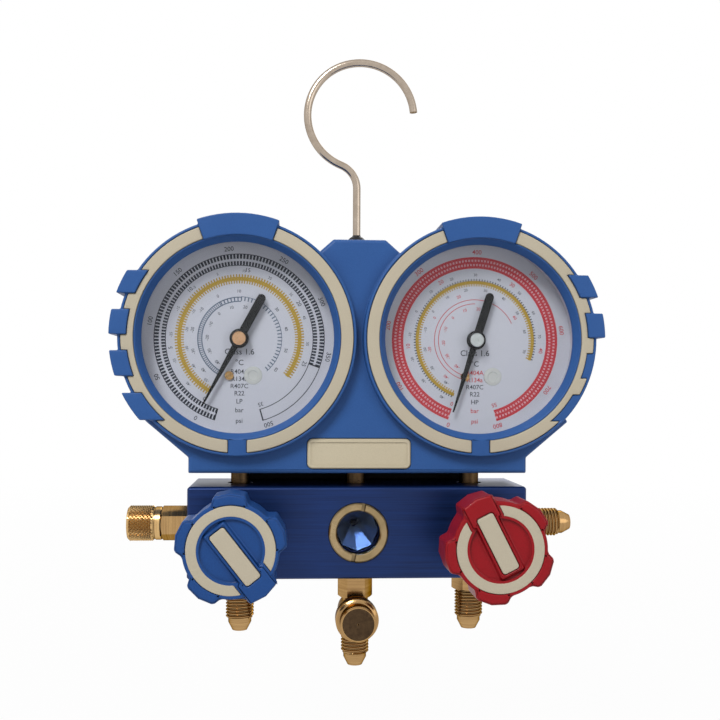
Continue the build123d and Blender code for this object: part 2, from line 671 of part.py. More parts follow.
def make_pointer(x, rest):
    """Tapered pointer with a round-ended tail; rest is its angle left of straight down."""
    root, tip = POINTER_ROOT_W / 2, POINTER_TIP_W / 2
    blade = make_face(Polyline((0, root), (POINTER_L, tip), (POINTER_L, -tip), (0, -root), close=True))
    tail_l = POINTER_TAIL - POINTER_W / 2
    tail = Pos(-tail_l / 2, 0) * Rectangle(tail_l, POINTER_W) + Pos(-tail_l, 0) * Circle(POINTER_W / 2)
    flat = Pos(x, GZ) * Rot(0, 0, -90 - rest) * (blade + tail)
    solid = slab(flat, -POINTER_FRONT, -POINTER_FRONT + POINTER_T)
    solid += rod_y(x, GZ, POINTER_HUB_R, -POINTER_FRONT - POINTER_T, -POINTER_FRONT + POINTER_T)
    cap = rod_y(x, GZ, POINTER_CAP_R, -POINTER_FRONT - 1.8, -POINTER_FRONT)
    cap = fillet(cap.faces().sort_by(Axis.Y)[0].edges(), 0.6)
    return solid + cap - rod_y(x, GZ, ARBOR_R, -POINTER_FRONT, 0)


def make_dial_screw(x):
    z = GZ - DIAL_SCREW_DROP
    front = -DIAL_FRONT - DIAL_SCREW_H
    head = rod_y(x + DIAL_SCREW_X, z, DIAL_SCREW_R, front, -DIAL_FRONT)
    slot = Pos(x + DIAL_SCREW_X, z) * Rot(0, 0, 25) * Rectangle(2 * DIAL_SCREW_R, DIAL_SCREW_R * 0.3)
    head -= slab(slot, front, front + DIAL_SCREW_H / 2)
    return head + rod_y(x + DIAL_SCREW_X, z, DIAL_SCREW_CORE_R, -DIAL_FRONT, -FRAME_FRONT - FREE)


def build_gauges():
    screws = []
    plugs = []
    for name, side in SIDES:
        x = side * PX
        rest = LEFT_REST if side < 0 else RIGHT_REST
        plug_x, plug_z = x + LENS_PLUG_X, GZ - LENS_PLUG_DROP
        save(f"{name}_gauge_case", make_case(x))
        lens = rod_y(x, GZ, CASE_R - CASE_T - SEAT, LENS_FRONT, LENS_FRONT + LENS_T)
        lens -= rod_y(plug_x, plug_z, LENS_PLUG_R, LENS_FRONT, LENS_FRONT + LENS_T)
        save(f"{name}_gauge_lens", lens)
        plug = rod_y(plug_x, plug_z, LENS_PLUG_R - FIT, LENS_FRONT, LENS_FRONT + LENS_T)
        flange_r = LENS_PLUG_R + LENS_PLUG_RIM
        plug += rod_y(plug_x, plug_z, flange_r, LENS_FRONT - LENS_PLUG_PROUD, LENS_FRONT)
        plugs.append(plug)
        dial = rod_y(x, GZ, DIAL_R, -DIAL_FRONT, -DIAL_FRONT + DIAL_T)
        dial -= rod_y(x, GZ, DIAL_HOLE_R, -DIAL_FRONT, -DIAL_FRONT + DIAL_T)
        screw_z = GZ - DIAL_SCREW_DROP
        hole_r = DIAL_SCREW_CORE_R + SEAT
        dial -= rod_y(x + DIAL_SCREW_X, screw_z, hole_r, -DIAL_FRONT, -DIAL_FRONT + DIAL_T)
        save(f"{name}_gauge_dial", dial)
        save(f"{name}_gauge_pointer", make_pointer(x, rest))
        save(f"{name}_pointer_pinion", make_pinion(x))
        save(f"{name}_sector_gear", make_sector(x))
        save(f"{name}_gauge_link", make_link(x))
        save(f"{name}_movement_frame", make_movement_frame(x))
        save(f"{name}_bourdon_tube", make_bourdon_tube(x))
        save(f"{name}_gauge_socket", make_socket(x))
        screws.append(make_dial_screw(x))
    save("dial_screws", *screws)
    save("lens_plugs", *plugs)


# ---------------------------------------------------------------- manifold block
def make_block():
    block = box(-BLOCK_W / 2, BLOCK_W / 2, -BLOCK_FRONT, BLOCK_FRONT, UNDER, DECK)
    block = chamfer(block.edges(), BLOCK_CHAMFER)
    seat_back = PISTON_BACK + NOSE_T + FIT
    for _, side in SIDES:
        x = side * PX
        block -= rod_z(x, 0, PIPE_R, DECK - PIPE_L - 1, DECK)
        block -= rod_z(x, 0, PASSAGE_R, VALVE_Z, DECK)
        block -= rod_z(x, 0, PIPE_R, UNDER, UNDER + PIPE_L)
        block -= rod_z(x, 0, DRILL_R, UNDER, VALVE_Z)
        end = side * BLOCK_W / 2
        inner = end - side * (PIPE_L + 1)
        block -= rod_x(0, SIDE_Z, PIPE_R, min(end, inner), max(end, inner))
        block -= rod_x(0, SIDE_Z, DRILL_R, min(end, x + side), max(end, x + side))
        block -= rod_y(x, VALVE_Z, BONNET_R, -BLOCK_FRONT, -BLOCK_FRONT + BONNET_L)
        block -= rod_y(x, VALVE_Z, PISTON_BORE_R, -BLOCK_FRONT, seat_back)
        block -= rod_y(x, VALVE_Z, DRILL_R, 0, seat_back + GALLERY_R)
    gallery_y = seat_back + GALLERY_R
    block -= rod_x(gallery_y, VALVE_Z, GALLERY_R, -PX - GALLERY_R, PX + GALLERY_R)
    block -= rod_z(0, 0, PIPE_R, UNDER, UNDER + PIPE_L)
    block -= rod_z(0, 0, DRILL_R, UNDER, SIGHT_Z + WELL_HOLE_RISE)
    block -= rod_y(0, SIGHT_Z, SIGHT_R + SEAT, -BLOCK_FRONT, sight_floor())
    block -= rod_y(0, SIGHT_Z, SIGHT_BORE_R, -BLOCK_FRONT, -SIGHT_WELL)
    block -= rod_y(-WELL_HOLE_SHIFT, SIGHT_Z + WELL_HOLE_RISE, WELL_DRILL_R, -SIGHT_WELL - 1, 0)
    return block - rod_y(0, VALVE_Z, WELL_DRILL_R, 0, gallery_y)


def sight_floor():
    """Depth of the counterbore that takes ring, glass and seal."""
    return -BLOCK_FRONT - SIGHT_PROUD + SIGHT_RING_T + SIGHT_LENS_T + 2 * SEAL_R


def make_sight_ring():
    front = -BLOCK_FRONT - SIGHT_PROUD
    ring = slab(Pos(0, SIGHT_Z) * annulus(SIGHT_R, SIGHT_BORE_R), front, front + SIGHT_RING_T)
    ring = chamfer(ring.faces().sort_by(Axis.Y)[0].edges(), 0.5)
    slot = Rot(0, 0, -SIGHT_SLOT_TILT) * Rectangle(SIGHT_SLOT_W, 3 * SIGHT_R)
    return ring - slab(Pos(0, SIGHT_Z) * slot, front, front + SIGHT_RING_T / 2)


def build_manifold():
    save("manifold_block", make_block())
    save("sight_ring", make_sight_ring())
    glass_front = -BLOCK_FRONT - SIGHT_PROUD + SIGHT_RING_T
    save("sight_lens", rod_y(0, SIGHT_Z, SIGHT_R - SEAT, glass_front, glass_front + SIGHT_LENS_T))
    seal_r = (SIGHT_R + SIGHT_BORE_R) / 2
    save("sight_seal", torus_y(0, SIGHT_Z, seal_r, SEAL_R, glass_front + SIGHT_LENS_T + SEAL_R))


# ---------------------------------------------------------------- valves
def wheel_outline():
    """Handwheel seen from the front: lobes with sloping flanks round a smaller circle."""
    points = []
    for count in range(WHEEL_LOBES):
        middle = count * 360 / WHEEL_LOBES
        for r, angle in ((VALLEY_R, -LOBE_HALF - FLANK), (LOBE_R * 0.985, -LOBE_HALF),
                         (LOBE_R, 0), (LOBE_R * 0.985, LOBE_HALF), (VALLEY_R, LOBE_HALF + FLANK)):
            points.append(polar(r, middle + angle))
    return make_face(Polyline(*points, close=True)) + Circle(VALLEY_R)


def label_sketch(clear):
    return Pos(LABEL_SHIFT, 0) * RectangleRounded(LABEL_L + 2 * clear, LABEL_W + 2 * clear, 1.0)


def ridge_sketch(clear):
    """Raised bar under the label that widens into the ridge and crosses the ring."""
    bar = Pos(LABEL_SHIFT, 0) * Rectangle(LABEL_L + 2.6 + 2 * clear, LABEL_W + 2.6 + 2 * clear)
    reach = LOBE_R - RING_R_IN + 1
    ridge = Pos(RING_R_IN - 1 + reach / 2, 0) * Rectangle(reach, RIDGE_W + 2 * clear)
    return bar + ridge


def ring_sketch(clear):
    return annulus(RING_R_OUT - clear, RING_R_IN + clear) - offset(ridge_sketch(0), 0.9 + clear)


def make_handwheel(place):
    front = -WHEEL_FRONT
    back = front + WHEEL_DEPTH
    rim = front + WHEEL_RIM_SET
    wheel = slab(wheel_outline(), rim, back)
    wheel = chamfer(wheel.faces().sort_by(Axis.Y)[0].edges(), 0.6)
    wheel += slab(ridge_sketch(0) & wheel_outline(), front, back - WHEEL_DEPTH / 2)
    wheel -= slab(Circle(RING_R_IN - 0.4) - ridge_sketch(0), front - 1, front + DISC_SET)
    wheel -= slab(ring_sketch(0), front - 1, rim + RING_DEPTH)
    wheel -= slab(label_sketch(SEAT), front - 1, front + LABEL_T - 0.2)
    floor = front + DISC_SET + WHEEL_WALL
    wheel -= slab(annulus(VALLEY_R - WHEEL_WALL, WHEEL_HUB_R), floor, back)
    wheel += rod_y(0, 0, WHEEL_HUB_R, floor, back + 2)
    wheel -= rod_y(0, 0, SPINDLE_R + SEAT / 2, floor + 1, back + 2)
    wheel -= rod_y(0, 0, WHEEL_SCREW_R + SEAT, front, floor + 1)
    wheel -= rod_y(0, 0, WHEEL_SCREW_HEAD_R + SEAT, front, front + LABEL_T + WHEEL_SCREW_HEAD_H)
    return place * wheel


def make_spindle(place):
    start = -WHEEL_FRONT + DISC_SET + WHEEL_WALL + 1
    spindle = rod_y(0, 0, SPINDLE_R, start, -PISTON_FRONT)
    spindle += rod_y(0, 0, SPINDLE_TIP_R, -PISTON_FRONT, -PISTON_FRONT + SPINDLE_TIP_L)
    return place * (spindle - rod_y(0, 0, WHEEL_SCREW_R, start, start + WHEEL_SCREW_L))


def make_wheel_screw(place):
    head_front = -WHEEL_FRONT + LABEL_T
    head_back = head_front + WHEEL_SCREW_HEAD_H
    head = rod_y(0, 0, WHEEL_SCREW_HEAD_R, head_front, head_back)
    head -= slab(Rectangle(3 * WHEEL_SCREW_HEAD_R, 0.8), head_front, head_front + WHEEL_SCREW_HEAD_H / 2)
    return place * (head + rod_y(0, 0, WHEEL_SCREW_R - SEAT / 2, head_back, head_back + WHEEL_SCREW_L))


def make_bonnet(x):
    """Threaded bonnet with its hex and the gland nut that packs the spindle."""
    bonnet = rod_y(x, VALVE_Z, BONNET_R - SEAT, -BLOCK_FRONT, -BLOCK_FRONT + BONNET_L)
    hex_front = -BLOCK_FRONT - BONNET_HEX_L
    bonnet += slab(Pos(x, VALVE_Z) * hexagon(BONNET_HEX), hex_front, -BLOCK_FRONT)
    bonnet += rod_y(x, VALVE_Z, GLAND_R, hex_front - GLAND_L, hex_front)
    bonnet = chamfer(bonnet.faces().sort_by(Axis.Y)[0].edges(), 0.8)
    return bonnet - rod_y(x, VALVE_Z, SPINDLE_R + FIT, hex_front - GLAND_L, 0)


def make_piston(x):
    groove = annulus(PISTON_R + 1, PISTON_BORE_R - FIT - 2 * SEAL_R)
    piston = rod_y(x, VALVE_Z, PISTON_R, -PISTON_FRONT, PISTON_BACK)
    piston -= slab(Pos(x, VALVE_Z) * groove, -PISTON_SEAL - SEAL_R - FIT, -PISTON_SEAL + SEAL_R + FIT)
    socket_floor = -PISTON_FRONT + SPINDLE_TIP_L + FIT
    return piston - rod_y(x, VALVE_Z, SPINDLE_TIP_R + FIT, -PISTON_FRONT, socket_floor)


def build_valves():
    for name, side in SIDES:
        x = side * PX
        turn = LEFT_TURN if side < 0 else RIGHT_TURN
        place = Pos(x, 0, VALVE_Z) * Rot(0, -turn, 0)
        save(f"{name}_handwheel", make_handwheel(place))
        rim = -WHEEL_FRONT + WHEEL_RIM_SET
        save(f"{name}_handwheel_ring", place * slab(ring_sketch(SEAT / 2), rim - 0.1, rim + RING_DEPTH))
        front = -WHEEL_FRONT
        save(f"{name}_handwheel_label", place * slab(label_sketch(0), front - 0.2, front + LABEL_T - 0.2))
        save(f"{name}_handwheel_screw", make_wheel_screw(place))
        save(f"{name}_valve_spindle", make_spindle(place))
        save(f"{name}_valve_bonnet", make_bonnet(x))
        save(f"{name}_valve_piston", make_piston(x))
        ring = torus_y(x, VALVE_Z, PISTON_BORE_R - FIT - SEAL_R, SEAL_R, -PISTON_SEAL)
        nose = rod_y(x, VALVE_Z, PISTON_R - 1, PISTON_BACK, PISTON_BACK + NOSE_T)
        save(f"{name}_valve_seals", ring, nose)


# ---------------------------------------------------------------- ports
def flare_profile(hex_l, thread_l, bore):
    """Half section of a male flare end, from its pipe thread out to its nose."""
    thread_end = hex_l + thread_l
    tip = thread_end + FLARE_NOSE_L
    return [
        (bore, -PIPE_L + SEAT),
        (PIPE_R - SEAT, -PIPE_L + SEAT),
        (PIPE_R - SEAT, 0),
        (PIPE_R, 0),
        (PIPE_R, hex_l),
        (FLARE_R - THREAD_CHAMFER, hex_l),
        (FLARE_R, hex_l + THREAD_CHAMFER),
        (FLARE_R, thread_end - THREAD_CHAMFER),
        (FLARE_NOSE_R, thread_end),
        (FLARE_NOSE_R, thread_end + FLARE_NECK_L),
        (FLARE_TIP_R, tip),
        (bore, tip),
    ]


def make_fitting(hex_l, thread_l, axis, turn=0.0):
    fitting = turned(flare_profile(hex_l, thread_l, DRILL_R), axis)
    nut = extrude(hexagon(PORT_HEX, 30 + turn), amount=hex_l) - Cylinder(DRILL_R, 4 * hex_l)
    turns = {"-z": Rot(180, 0, 0), "x": Rot(0, 90, 0), "-x": Rot(0, -90, 0)}
    return fitting + turns[axis] * nut


def make_tee():
    """Centre hose tee: hex at the block, branch to the front, flare end below."""
    tee = rod_z(0, 0, PIPE_R - SEAT, UNDER, UNDER + PIPE_L - SEAT)
    tee += Pos(0, 0, UNDER - TEE_HEX_L) * extrude(hexagon(TEE_HEX, 30), amount=TEE_HEX_L)
    tee += rod_z(0, 0, TEE_BODY_R - 1.4, TEE_Z, UNDER)
    tee += rod_y(0, TEE_Z, TEE_BODY_R, -TEE_SHOULDER, TEE_SHOULDER)
    low = UNDER - TEE_L
    lower = [(0, 0), (FLARE_R, 0), (FLARE_R, TEE_THREAD_L - THREAD_CHAMFER), (FLARE_NOSE_R, TEE_THREAD_L),
             (FLARE_NOSE_R, TEE_THREAD_L + FLARE_NECK_L), (FLARE_TIP_R, TEE_THREAD_L + FLARE_NOSE_L),
             (0, TEE_THREAD_L + FLARE_NOSE_L)]
    tee += Pos(0, 0, low) * turned(lower, "-z")
    tee += rod_z(0, 0, FLARE_R - 0.8, low, TEE_Z)
    branch = rod_y(0, TEE_Z, FLARE_R, -TEE_SHOULDER - BRANCH_L, 0)
    tee += chamfer(branch.faces().sort_by(Axis.Y)[0].edges(), 0.8)
    tee -= rod_z(0, 0, DRILL_R, low - TEE_THREAD_L - FLARE_NOSE_L, UNDER + PIPE_L)
    return tee - rod_y(0, TEE_Z, CORE_BORE_R, -TEE_SHOULDER - BRANCH_L, 0)


def make_centre_cap():
    back = -TEE_SHOULDER
    cap = rod_y(0, TEE_Z, CAP_NOSE_R, back - CAP_L, back)
    cap = fillet(cap.faces().sort_by(Axis.Y)[0].edges(), 0.8)
    rim = rod_y(0, TEE_Z, CAP_RIM_R, back - CAP_RIM_L, back)
    cap += fillet(rim.faces().sort_by(Axis.Y)[0].edges(), 0.8)
    return cap - rod_y(0, TEE_Z, CAP_BORE_R, back - BRANCH_L - FREE, back)


def make_core():
    """Sleeve of the depressor valve, a fixed fit in the branch."""
    front = -TEE_SHOULDER - BRANCH_L + CORE_SET
    sleeve = rod_y(0, TEE_Z, CORE_BORE_R - FIT, front, front + CORE_L)
    return sleeve - rod_y(0, TEE_Z, CORE_PIN_R + FIT, front, front + CORE_L)


def make_core_pin():
    """Pin that the hose's depressor pushes in, with the head that seals the sleeve's inner end."""
    front = -TEE_SHOULDER - BRANCH_L + CORE_SET
    pin = rod_y(0, TEE_Z, CORE_PIN_R, front - CORE_PIN_PROUD, front + CORE_L + CORE_HEAD_T)
    return pin + rod_y(0, TEE_Z, CORE_R, front + CORE_L, front + CORE_L + CORE_HEAD_T)


def make_park_cap():
    """Knurled cap over the left park port."""
    seat = -BLOCK_W / 2 - CAPPED_HEX_L
    profile = [
        (0, PARK_CAP_L),
        (PARK_CAP_R - 0.9, PARK_CAP_L),
        (PARK_CAP_R - KNURL_DEPTH, PARK_CAP_L - 0.9),
        (PARK_CAP_R - KNURL_DEPTH, PARK_CAP_L - PARK_KNURL_L),
        (PARK_COLLAR_R, PARK_CAP_L - PARK_KNURL_L - 0.3),
        (PARK_COLLAR_R, 1.2),
        (PARK_COLLAR_R - 0.6, 0),
        (0, 0),
    ]
    cap = Pos(seat, 0, SIDE_Z) * turned(profile, "-x")
    teeth = []
    for count in range(2 * KNURLS):
        r = PARK_CAP_R - (count % 2) * KNURL_DEPTH * 1.5
        teeth.append(polar(r, count * 180 / KNURLS))
    knurl_low = seat - PARK_CAP_L + 1.1
    side_plane = Plane(origin=(knurl_low, 0, SIDE_Z), x_dir=(0, 1, 0), z_dir=(1, 0, 0))
    section = make_face(Polyline(*teeth, close=True))
    cap += extrude(side_plane * section, amount=PARK_KNURL_L - 1.3)
    depth = CAPPED_THREAD_L + FLARE_NOSE_L + FREE
    return cap - rod_x(0, SIDE_Z, CAP_BORE_R, seat - depth, seat)


def build_ports():
    hose = make_fitting(HOSE_HEX_L, FLARE_THREAD_L, "-z")
    save("port_fittings", *[Pos(side * PX, 0, UNDER) * hose for _, side in SIDES])
    save("centre_tee", make_tee())
    save("centre_cap", make_centre_cap())
    save("valve_core", make_core())
    save("valve_core_pin", make_core_pin())
    end = BLOCK_W / 2
    capped = make_fitting(CAPPED_HEX_L, CAPPED_THREAD_L, "-x", PARK_HEX_TURN)
    save("left_park_fitting", Pos(-end, 0, SIDE_Z) * capped)
    bare = make_fitting(PARK_HEX_L, FLARE_THREAD_L, "x", PARK_HEX_TURN)
    save("right_park_fitting", Pos(end, 0, SIDE_Z) * bare)
    save("left_park_cap", make_park_cap())


os.makedirs("parts", exist_ok=True)
build_housing()
build_gauges()
build_manifold()
build_valves()
build_ports()
print("block top at", round(DECK, 2), "gauge centre at", round(GZ, 2))
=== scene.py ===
# %% [markdown]
# # Dressing a two-valve manifold gauge
#
# A manifold gauge is the tool that a refrigeration fitter hangs beside the plant. It has two
# pressure gauges in a moulded housing, a block of anodised aluminium with two valves, and
# brass flare ports for the hoses. The CAD model gives every solid its place and its size.
# This lesson gives the solids their looks: softened edges, threads, printed dials and
# finishes that are made of nodes.

import bpy
import bmesh
import json
from math import atan2, cos, pi, radians, sin
from mathutils import Matrix, Vector
from mathutils.bvhtree import BVHTree


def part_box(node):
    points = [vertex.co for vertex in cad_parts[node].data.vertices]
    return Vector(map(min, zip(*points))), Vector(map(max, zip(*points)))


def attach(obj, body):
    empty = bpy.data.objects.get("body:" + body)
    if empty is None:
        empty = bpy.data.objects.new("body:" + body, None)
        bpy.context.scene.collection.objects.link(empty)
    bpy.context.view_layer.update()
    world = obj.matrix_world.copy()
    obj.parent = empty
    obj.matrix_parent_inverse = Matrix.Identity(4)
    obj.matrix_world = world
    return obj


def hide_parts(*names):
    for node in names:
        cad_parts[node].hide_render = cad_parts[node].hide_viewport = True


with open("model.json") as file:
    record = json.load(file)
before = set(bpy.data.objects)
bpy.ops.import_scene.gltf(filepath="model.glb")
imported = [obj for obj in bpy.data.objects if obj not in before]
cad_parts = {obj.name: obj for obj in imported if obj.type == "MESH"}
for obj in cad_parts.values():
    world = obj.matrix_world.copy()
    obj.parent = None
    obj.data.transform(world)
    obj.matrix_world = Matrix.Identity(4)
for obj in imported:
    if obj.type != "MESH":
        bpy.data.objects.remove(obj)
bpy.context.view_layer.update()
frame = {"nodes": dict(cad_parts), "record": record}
print("CAD nodes:", len(frame["nodes"]))

# %% [markdown]
# ## Sizes
#
# The CAD solids are in metres, and a fitter thinks in millimetres, so one factor turns the
# one into the other. Everything is placed from the block: its top, its underside and its
# end are read from the frame, and the other heights are counted from them. The two valves,
# the two gauges and the two hose ports share one distance from the middle.

# %% Heights and places
MM = 0.001
low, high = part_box("manifold_block")
DECK = high.z / MM
UNDER = low.z / MM
BLOCK_END = high.x / MM
GAUGE_Z = DECK + 56.7
SIGHT_Z = DECK - 17.6
SIDE_Z = DECK - 16.1
TEE_Z = UNDER - 16.9
GAUGE_X = 46.0
SIDES = (("left", -GAUGE_X), ("right", GAUGE_X))
print("block from", round(UNDER, 2), "to", round(DECK, 2), "mm")

# %% [markdown]
# ## Colours and nodes
#
# A paint chip is measured in sRGB, and the shader wants linear light, so one function turns
# the one into the other. A second small function adds a node and fills its sockets. Both
# keep the recipes of the finishes short enough to read.

# %% Colour and node helpers
def chip(code):
    """Linear colour of an sRGB chip such as "335e9c"."""
    channels = [int(code[i:i + 2], 16) / 255 for i in (0, 2, 4)]
    linear = [c / 12.92 if c <= 0.04045 else ((c + 0.055) / 1.055) ** 2.4 for c in channels]
    return (*linear, 1.0)


def add(tree, kind, sockets=None, **settings):
    """Add a node; each socket gets a link or a plain value."""
    made = tree.nodes.new("ShaderNode" + kind)
    for name, value in settings.items():
        setattr(made, name, value)
    for name, value in (sockets or {}).items():
        if isinstance(value, bpy.types.NodeSocket):
            tree.links.new(value, made.inputs[name])
        else:
            made.inputs[name].default_value = value
    return made


print("housing blue is", [round(c, 3) for c in chip("335e9c")])

# %% [markdown]
# ## The grain of a finish
#
# Most finishes here follow one recipe. Noise is stretched until it looks like the tool that
# made the surface, and it then moves three things a little: the colour, the roughness and
# the height. The noise reads Object coordinates in metres, so a grain of 0.3 mm is the same
# size on every piece, and a second noise with cells of 22 mm makes large areas differ a
# little. A scale of one leaves the noise even. A small scale along one axis draws it out
# into brushing, and a small scale on the two axes across a turned piece makes the rings
# that a lathe tool leaves.

# %% The grain
EVEN = (1.0, 1.0, 1.0)
BROAD_SCALE, BROAD_SHARE = 45.0, 0.3


def grain_of(tree, grain, stretch):
    """The fine noise, and a level from 0 to 1 that mixes it with the broad one."""
    where = add(tree, "TexCoord").outputs["Object"]
    laid = add(tree, "Mapping", {"Vector": where, "Scale": stretch}).outputs["Vector"]
    fine = add(tree, "TexNoise", {"Vector": laid, "Scale": 1 / (grain * MM), "Detail": 4.0, "Roughness": 0.6})
    broad = add(tree, "TexNoise", {"Vector": where, "Scale": BROAD_SCALE, "Detail": 2.0})
    both = add(tree, "Mix", {"Factor": BROAD_SHARE, "A": fine.outputs["Fac"], "B": broad.outputs["Fac"]})
    level = add(tree, "MapRange", {"Value": both.outputs["Result"], "From Min": 0.3, "From Max": 0.7})
    return fine.outputs["Fac"], level.outputs["Result"]


print("a grain of 0.3 mm is a noise scale of", round(1 / (0.3 * MM)))

# %% [markdown]
# ## Painted shade and dirt in the corners
#
# The corners that no cloth reaches hold some dirt or tarnish, and they lie in shade. It could
# be painted by hand, but an Ambient Occlusion node finds every corner by itself: it tells how
# much of the surroundings within reach of a point is open. The colour is darkened where that
# is little, which paints the shade of the corners as well as their dirt.

# %% Painted shade and dirt
CLOSED, OPEN = 0.25, 0.85


def soiled(tree, coat, grime_and_shade, reach):
    """Darken a colour by a share where nothing is open within reach: painted shade and some dirt."""
    # painted shade: the corners are darkened as if shade fell there, together with their dirt
    corner = add(tree, "AmbientOcclusion", {"Distance": reach * MM}, samples=4).outputs["AO"]
    clean_and_unshaded = add(tree, "MapRange", {"Value": corner, "From Min": CLOSED, "From Max": OPEN,
                                   "To Min": 1 - grime_and_shade})
    return add(tree, "Mix", {0: 1.0, 6: coat, 7: clean_and_unshaded.outputs["Result"]}, data_type="RGBA",
               blend_type="MULTIPLY").outputs[2]


print("corners are dark below", CLOSED, "and clean above", OPEN)

# %% [markdown]
# ## The common recipe
#
# Grain, dirt and painted shade come together here. What is the same all over a piece, such as
# how metallic it is, is typed into the shader itself, and only what varies is linked.

# %% Finish
def finish(name, colour, dark, grain, stretch, roughness, bump, metal=0.0, grime_and_shade=0.0, reach=5.0,
           **shader):
    """A surface whose colour, gloss and height follow one stretched noise."""
    material = bpy.data.materials.new(name)
    material.use_nodes = True
    tree = material.node_tree
    body = tree.nodes["Principled BSDF"]
    fine, level = grain_of(tree, grain, stretch)
    gloss = add(tree, "MapRange", {"Value": level, "To Min": roughness[0], "To Max": roughness[1]})
    tree.links.new(gloss.outputs["Result"], body.inputs["Roughness"])
    body.inputs["Base Color"].default_value = chip(colour)
    if dark != colour:
        tint = add(tree, "ValToRGB", {"Fac": level})
        tint.color_ramp.elements[0].color = chip(dark)
        tint.color_ramp.elements[1].color = chip(colour)
        coat = tint.outputs["Color"]
        # darkened corners: painted shade and dirt
        if grime_and_shade:
            coat = soiled(tree, coat, grime_and_shade, reach)
        tree.links.new(coat, body.inputs["Base Color"])
    if bump:
        relief = add(tree, "Bump", {"Height": fine, "Strength": 1.0, "Distance": bump * MM})
        tree.links.new(relief.outputs["Normal"], body.inputs["Normal"])
    body.inputs["Metallic"].default_value = metal
    for socket, value in shader.items():
        body.inputs[socket.replace("_", " ")].default_value = value
    return material


def blend(material, share, other):
    """Mix the finish with another shader by a share from 0 to 1."""
    tree = material.node_tree
    finished = tree.nodes["Principled BSDF"].outputs[0]
    mixed = add(tree, "MixShader", {0: share, 1: finished, 2: other})
    tree.links.new(mixed.outputs[0], tree.nodes["Material Output"].inputs["Surface"])


print("a finish reaches", EVEN, "unless it is stretched")

# %% [markdown]
# ## The plastics
#
# The housing and the handwheels are injection-moulded. A mould is spark-eroded to a fine
# grain that hides fingerprints. The real grain is finer than a tenth of a millimetre, and it
# is drawn a few times as coarse, so that it shows. The handwheels are glossier, because
# hands polish them. The inlays, the name plate and the label bars are a luminous cream that
# glows after dark, and they are matt. Plain plastic shines less than the shader's own
# plastic does, so its specular level is lowered.

# %% Moulded plastics
MOULDED_SHINE = 0.22


def moulded(name, colour, dark, grain, roughness, bump, grime_and_shade):
    return finish(name, colour, dark, grain, EVEN, roughness, bump, grime_and_shade=grime_and_shade,
                  Specular_IOR_Level=MOULDED_SHINE)


# the last number darkens the corners: painted shade and dirt
housing_blue = moulded("housing_blue_spark_grain", "335e9c", "2b528e", 0.35, (0.36, 0.46), 0.012, 0.35)
knob_blue = moulded("handwheel_blue_gloss", "204d8e", "1b427d", 0.5, (0.32, 0.42), 0.006, 0.4)
knob_red = moulded("handwheel_red_gloss", "9c101b", "8a0c16", 0.5, (0.32, 0.42), 0.006, 0.4)
cream = moulded("luminous_cream_matt", "c3b9a4", "b7ad98", 0.4, (0.5, 0.62), 0.008, 0.3)
plate_cream = moulded("luminous_cream_plate", "cec3a9", "c3b89e", 0.4, (0.5, 0.62), 0.008, 0.2)
black_plastic = moulded("black_plastic_bush", "17181c", "101114", 0.4, (0.35, 0.5), 0.01, 0.2)
seal_rubber = moulded("nitrile_rubber", "1c1c1e", "131314", 0.3, (0.6, 0.75), 0.01, 0.2)
print("plastics:", housing_blue.name, knob_blue.name, knob_red.name, cream.name)

# %% [markdown]
# ## Brass
#
# Brass flare parts are turned, so the marks of the tool run round the axis of each part. The
# same brass is therefore made three times, once for each direction. Its grain of 0.5 mm is
# coarser than a real tool's feed, so that it shows. Then there is brass by what it has been
# through: faced and gone dull, polished, knurled and worn. The necks under the housing get a
# dark brass, which is painted shade, as they sit in shade between the housing and the block.
# Brass and nickel are darkened where they curve away by a dark tint for grazing light, which
# is painted shade along their edges.

# %% Brasses
# a dark tint for grazing light: painted shade along edges that curve away
PAINTED_EDGE_SHADE = (0.3, 0.25, 0.2, 1.0)


def brass(name, stretch, colour="c6a26e", dark="94714a", roughness=(0.14, 0.26), grime_and_shade=0.6, reach=2.0):
    return finish(name, colour, dark, 0.5, stretch, roughness, 0.006, 1.0, grime_and_shade, reach, Specular_Tint=PAINTED_EDGE_SHADE)


brass_z = brass("turned_brass_upright", (0.02, 0.02, 1.0))
brass_x = brass("turned_brass_sideways", (1.0, 0.02, 0.02))
brass_y = brass("turned_brass_facing", (0.02, 1.0, 0.02))
brass_faced = brass("faced_brass_dull", (0.35, 1.0, 0.35), "5a4733", "3f3124", (0.34, 0.5))
brass_clean = brass("polished_brass", (0.3, 1.0, 0.3), "d2ab86", "b48a68", (0.2, 0.3), 0.0)
# the knurl's grooves are darkened strongly: painted shade and dirt
brass_knurled = brass("knurled_brass", (1.0, 0.02, 0.02), "dcb880", "c09a66", (0.16, 0.28), 0.95, 0.7)
brass_ring = brass("brass_ring_worn", (0.06, 1.0, 0.06), "b39c78", "85724f", (0.18, 0.3))
# painted shade: a dark brass for the necks that sit in shade between housing and block
shade_brass = brass("brass_darkened_as_painted_shade", (0.3, 0.3, 1.0), "6e573c", "3f3223", (0.25, 0.4))
print("brasses:", len([m for m in bpy.data.materials if "brass" in m.name]))

# %% [markdown]
# ## Aluminium, nickel, zinc and enamel
#
# The block is aluminium bar that is brushed along its length, then dyed blue as it is
# anodised: the grain is fine across and very long in X. The dye lies in a clear oxide, so
# the metal shows through it only in part. The hook is wire that is plated with nickel after
# it is bent. Plating is smooth, so it has no relief, and its noise of 2.5 mm is only a
# slight unevenness. Screws are plated with zinc, and the gauge cases are enamelled black.

# %% Other metals
# the block's last number darkens its corners: painted shade and dirt
block_blue = finish("brushed_blue_anodised", "14326c", "0b2048", 0.35, (0.012, 1.0, 1.0), (0.28, 0.4),
                    0.01, 0.6, 0.5)
well_blue = finish("polished_blue_anodised", "7a92b0", "4c6488", 0.8, EVEN, (0.16, 0.26), 0.004, 0.8)
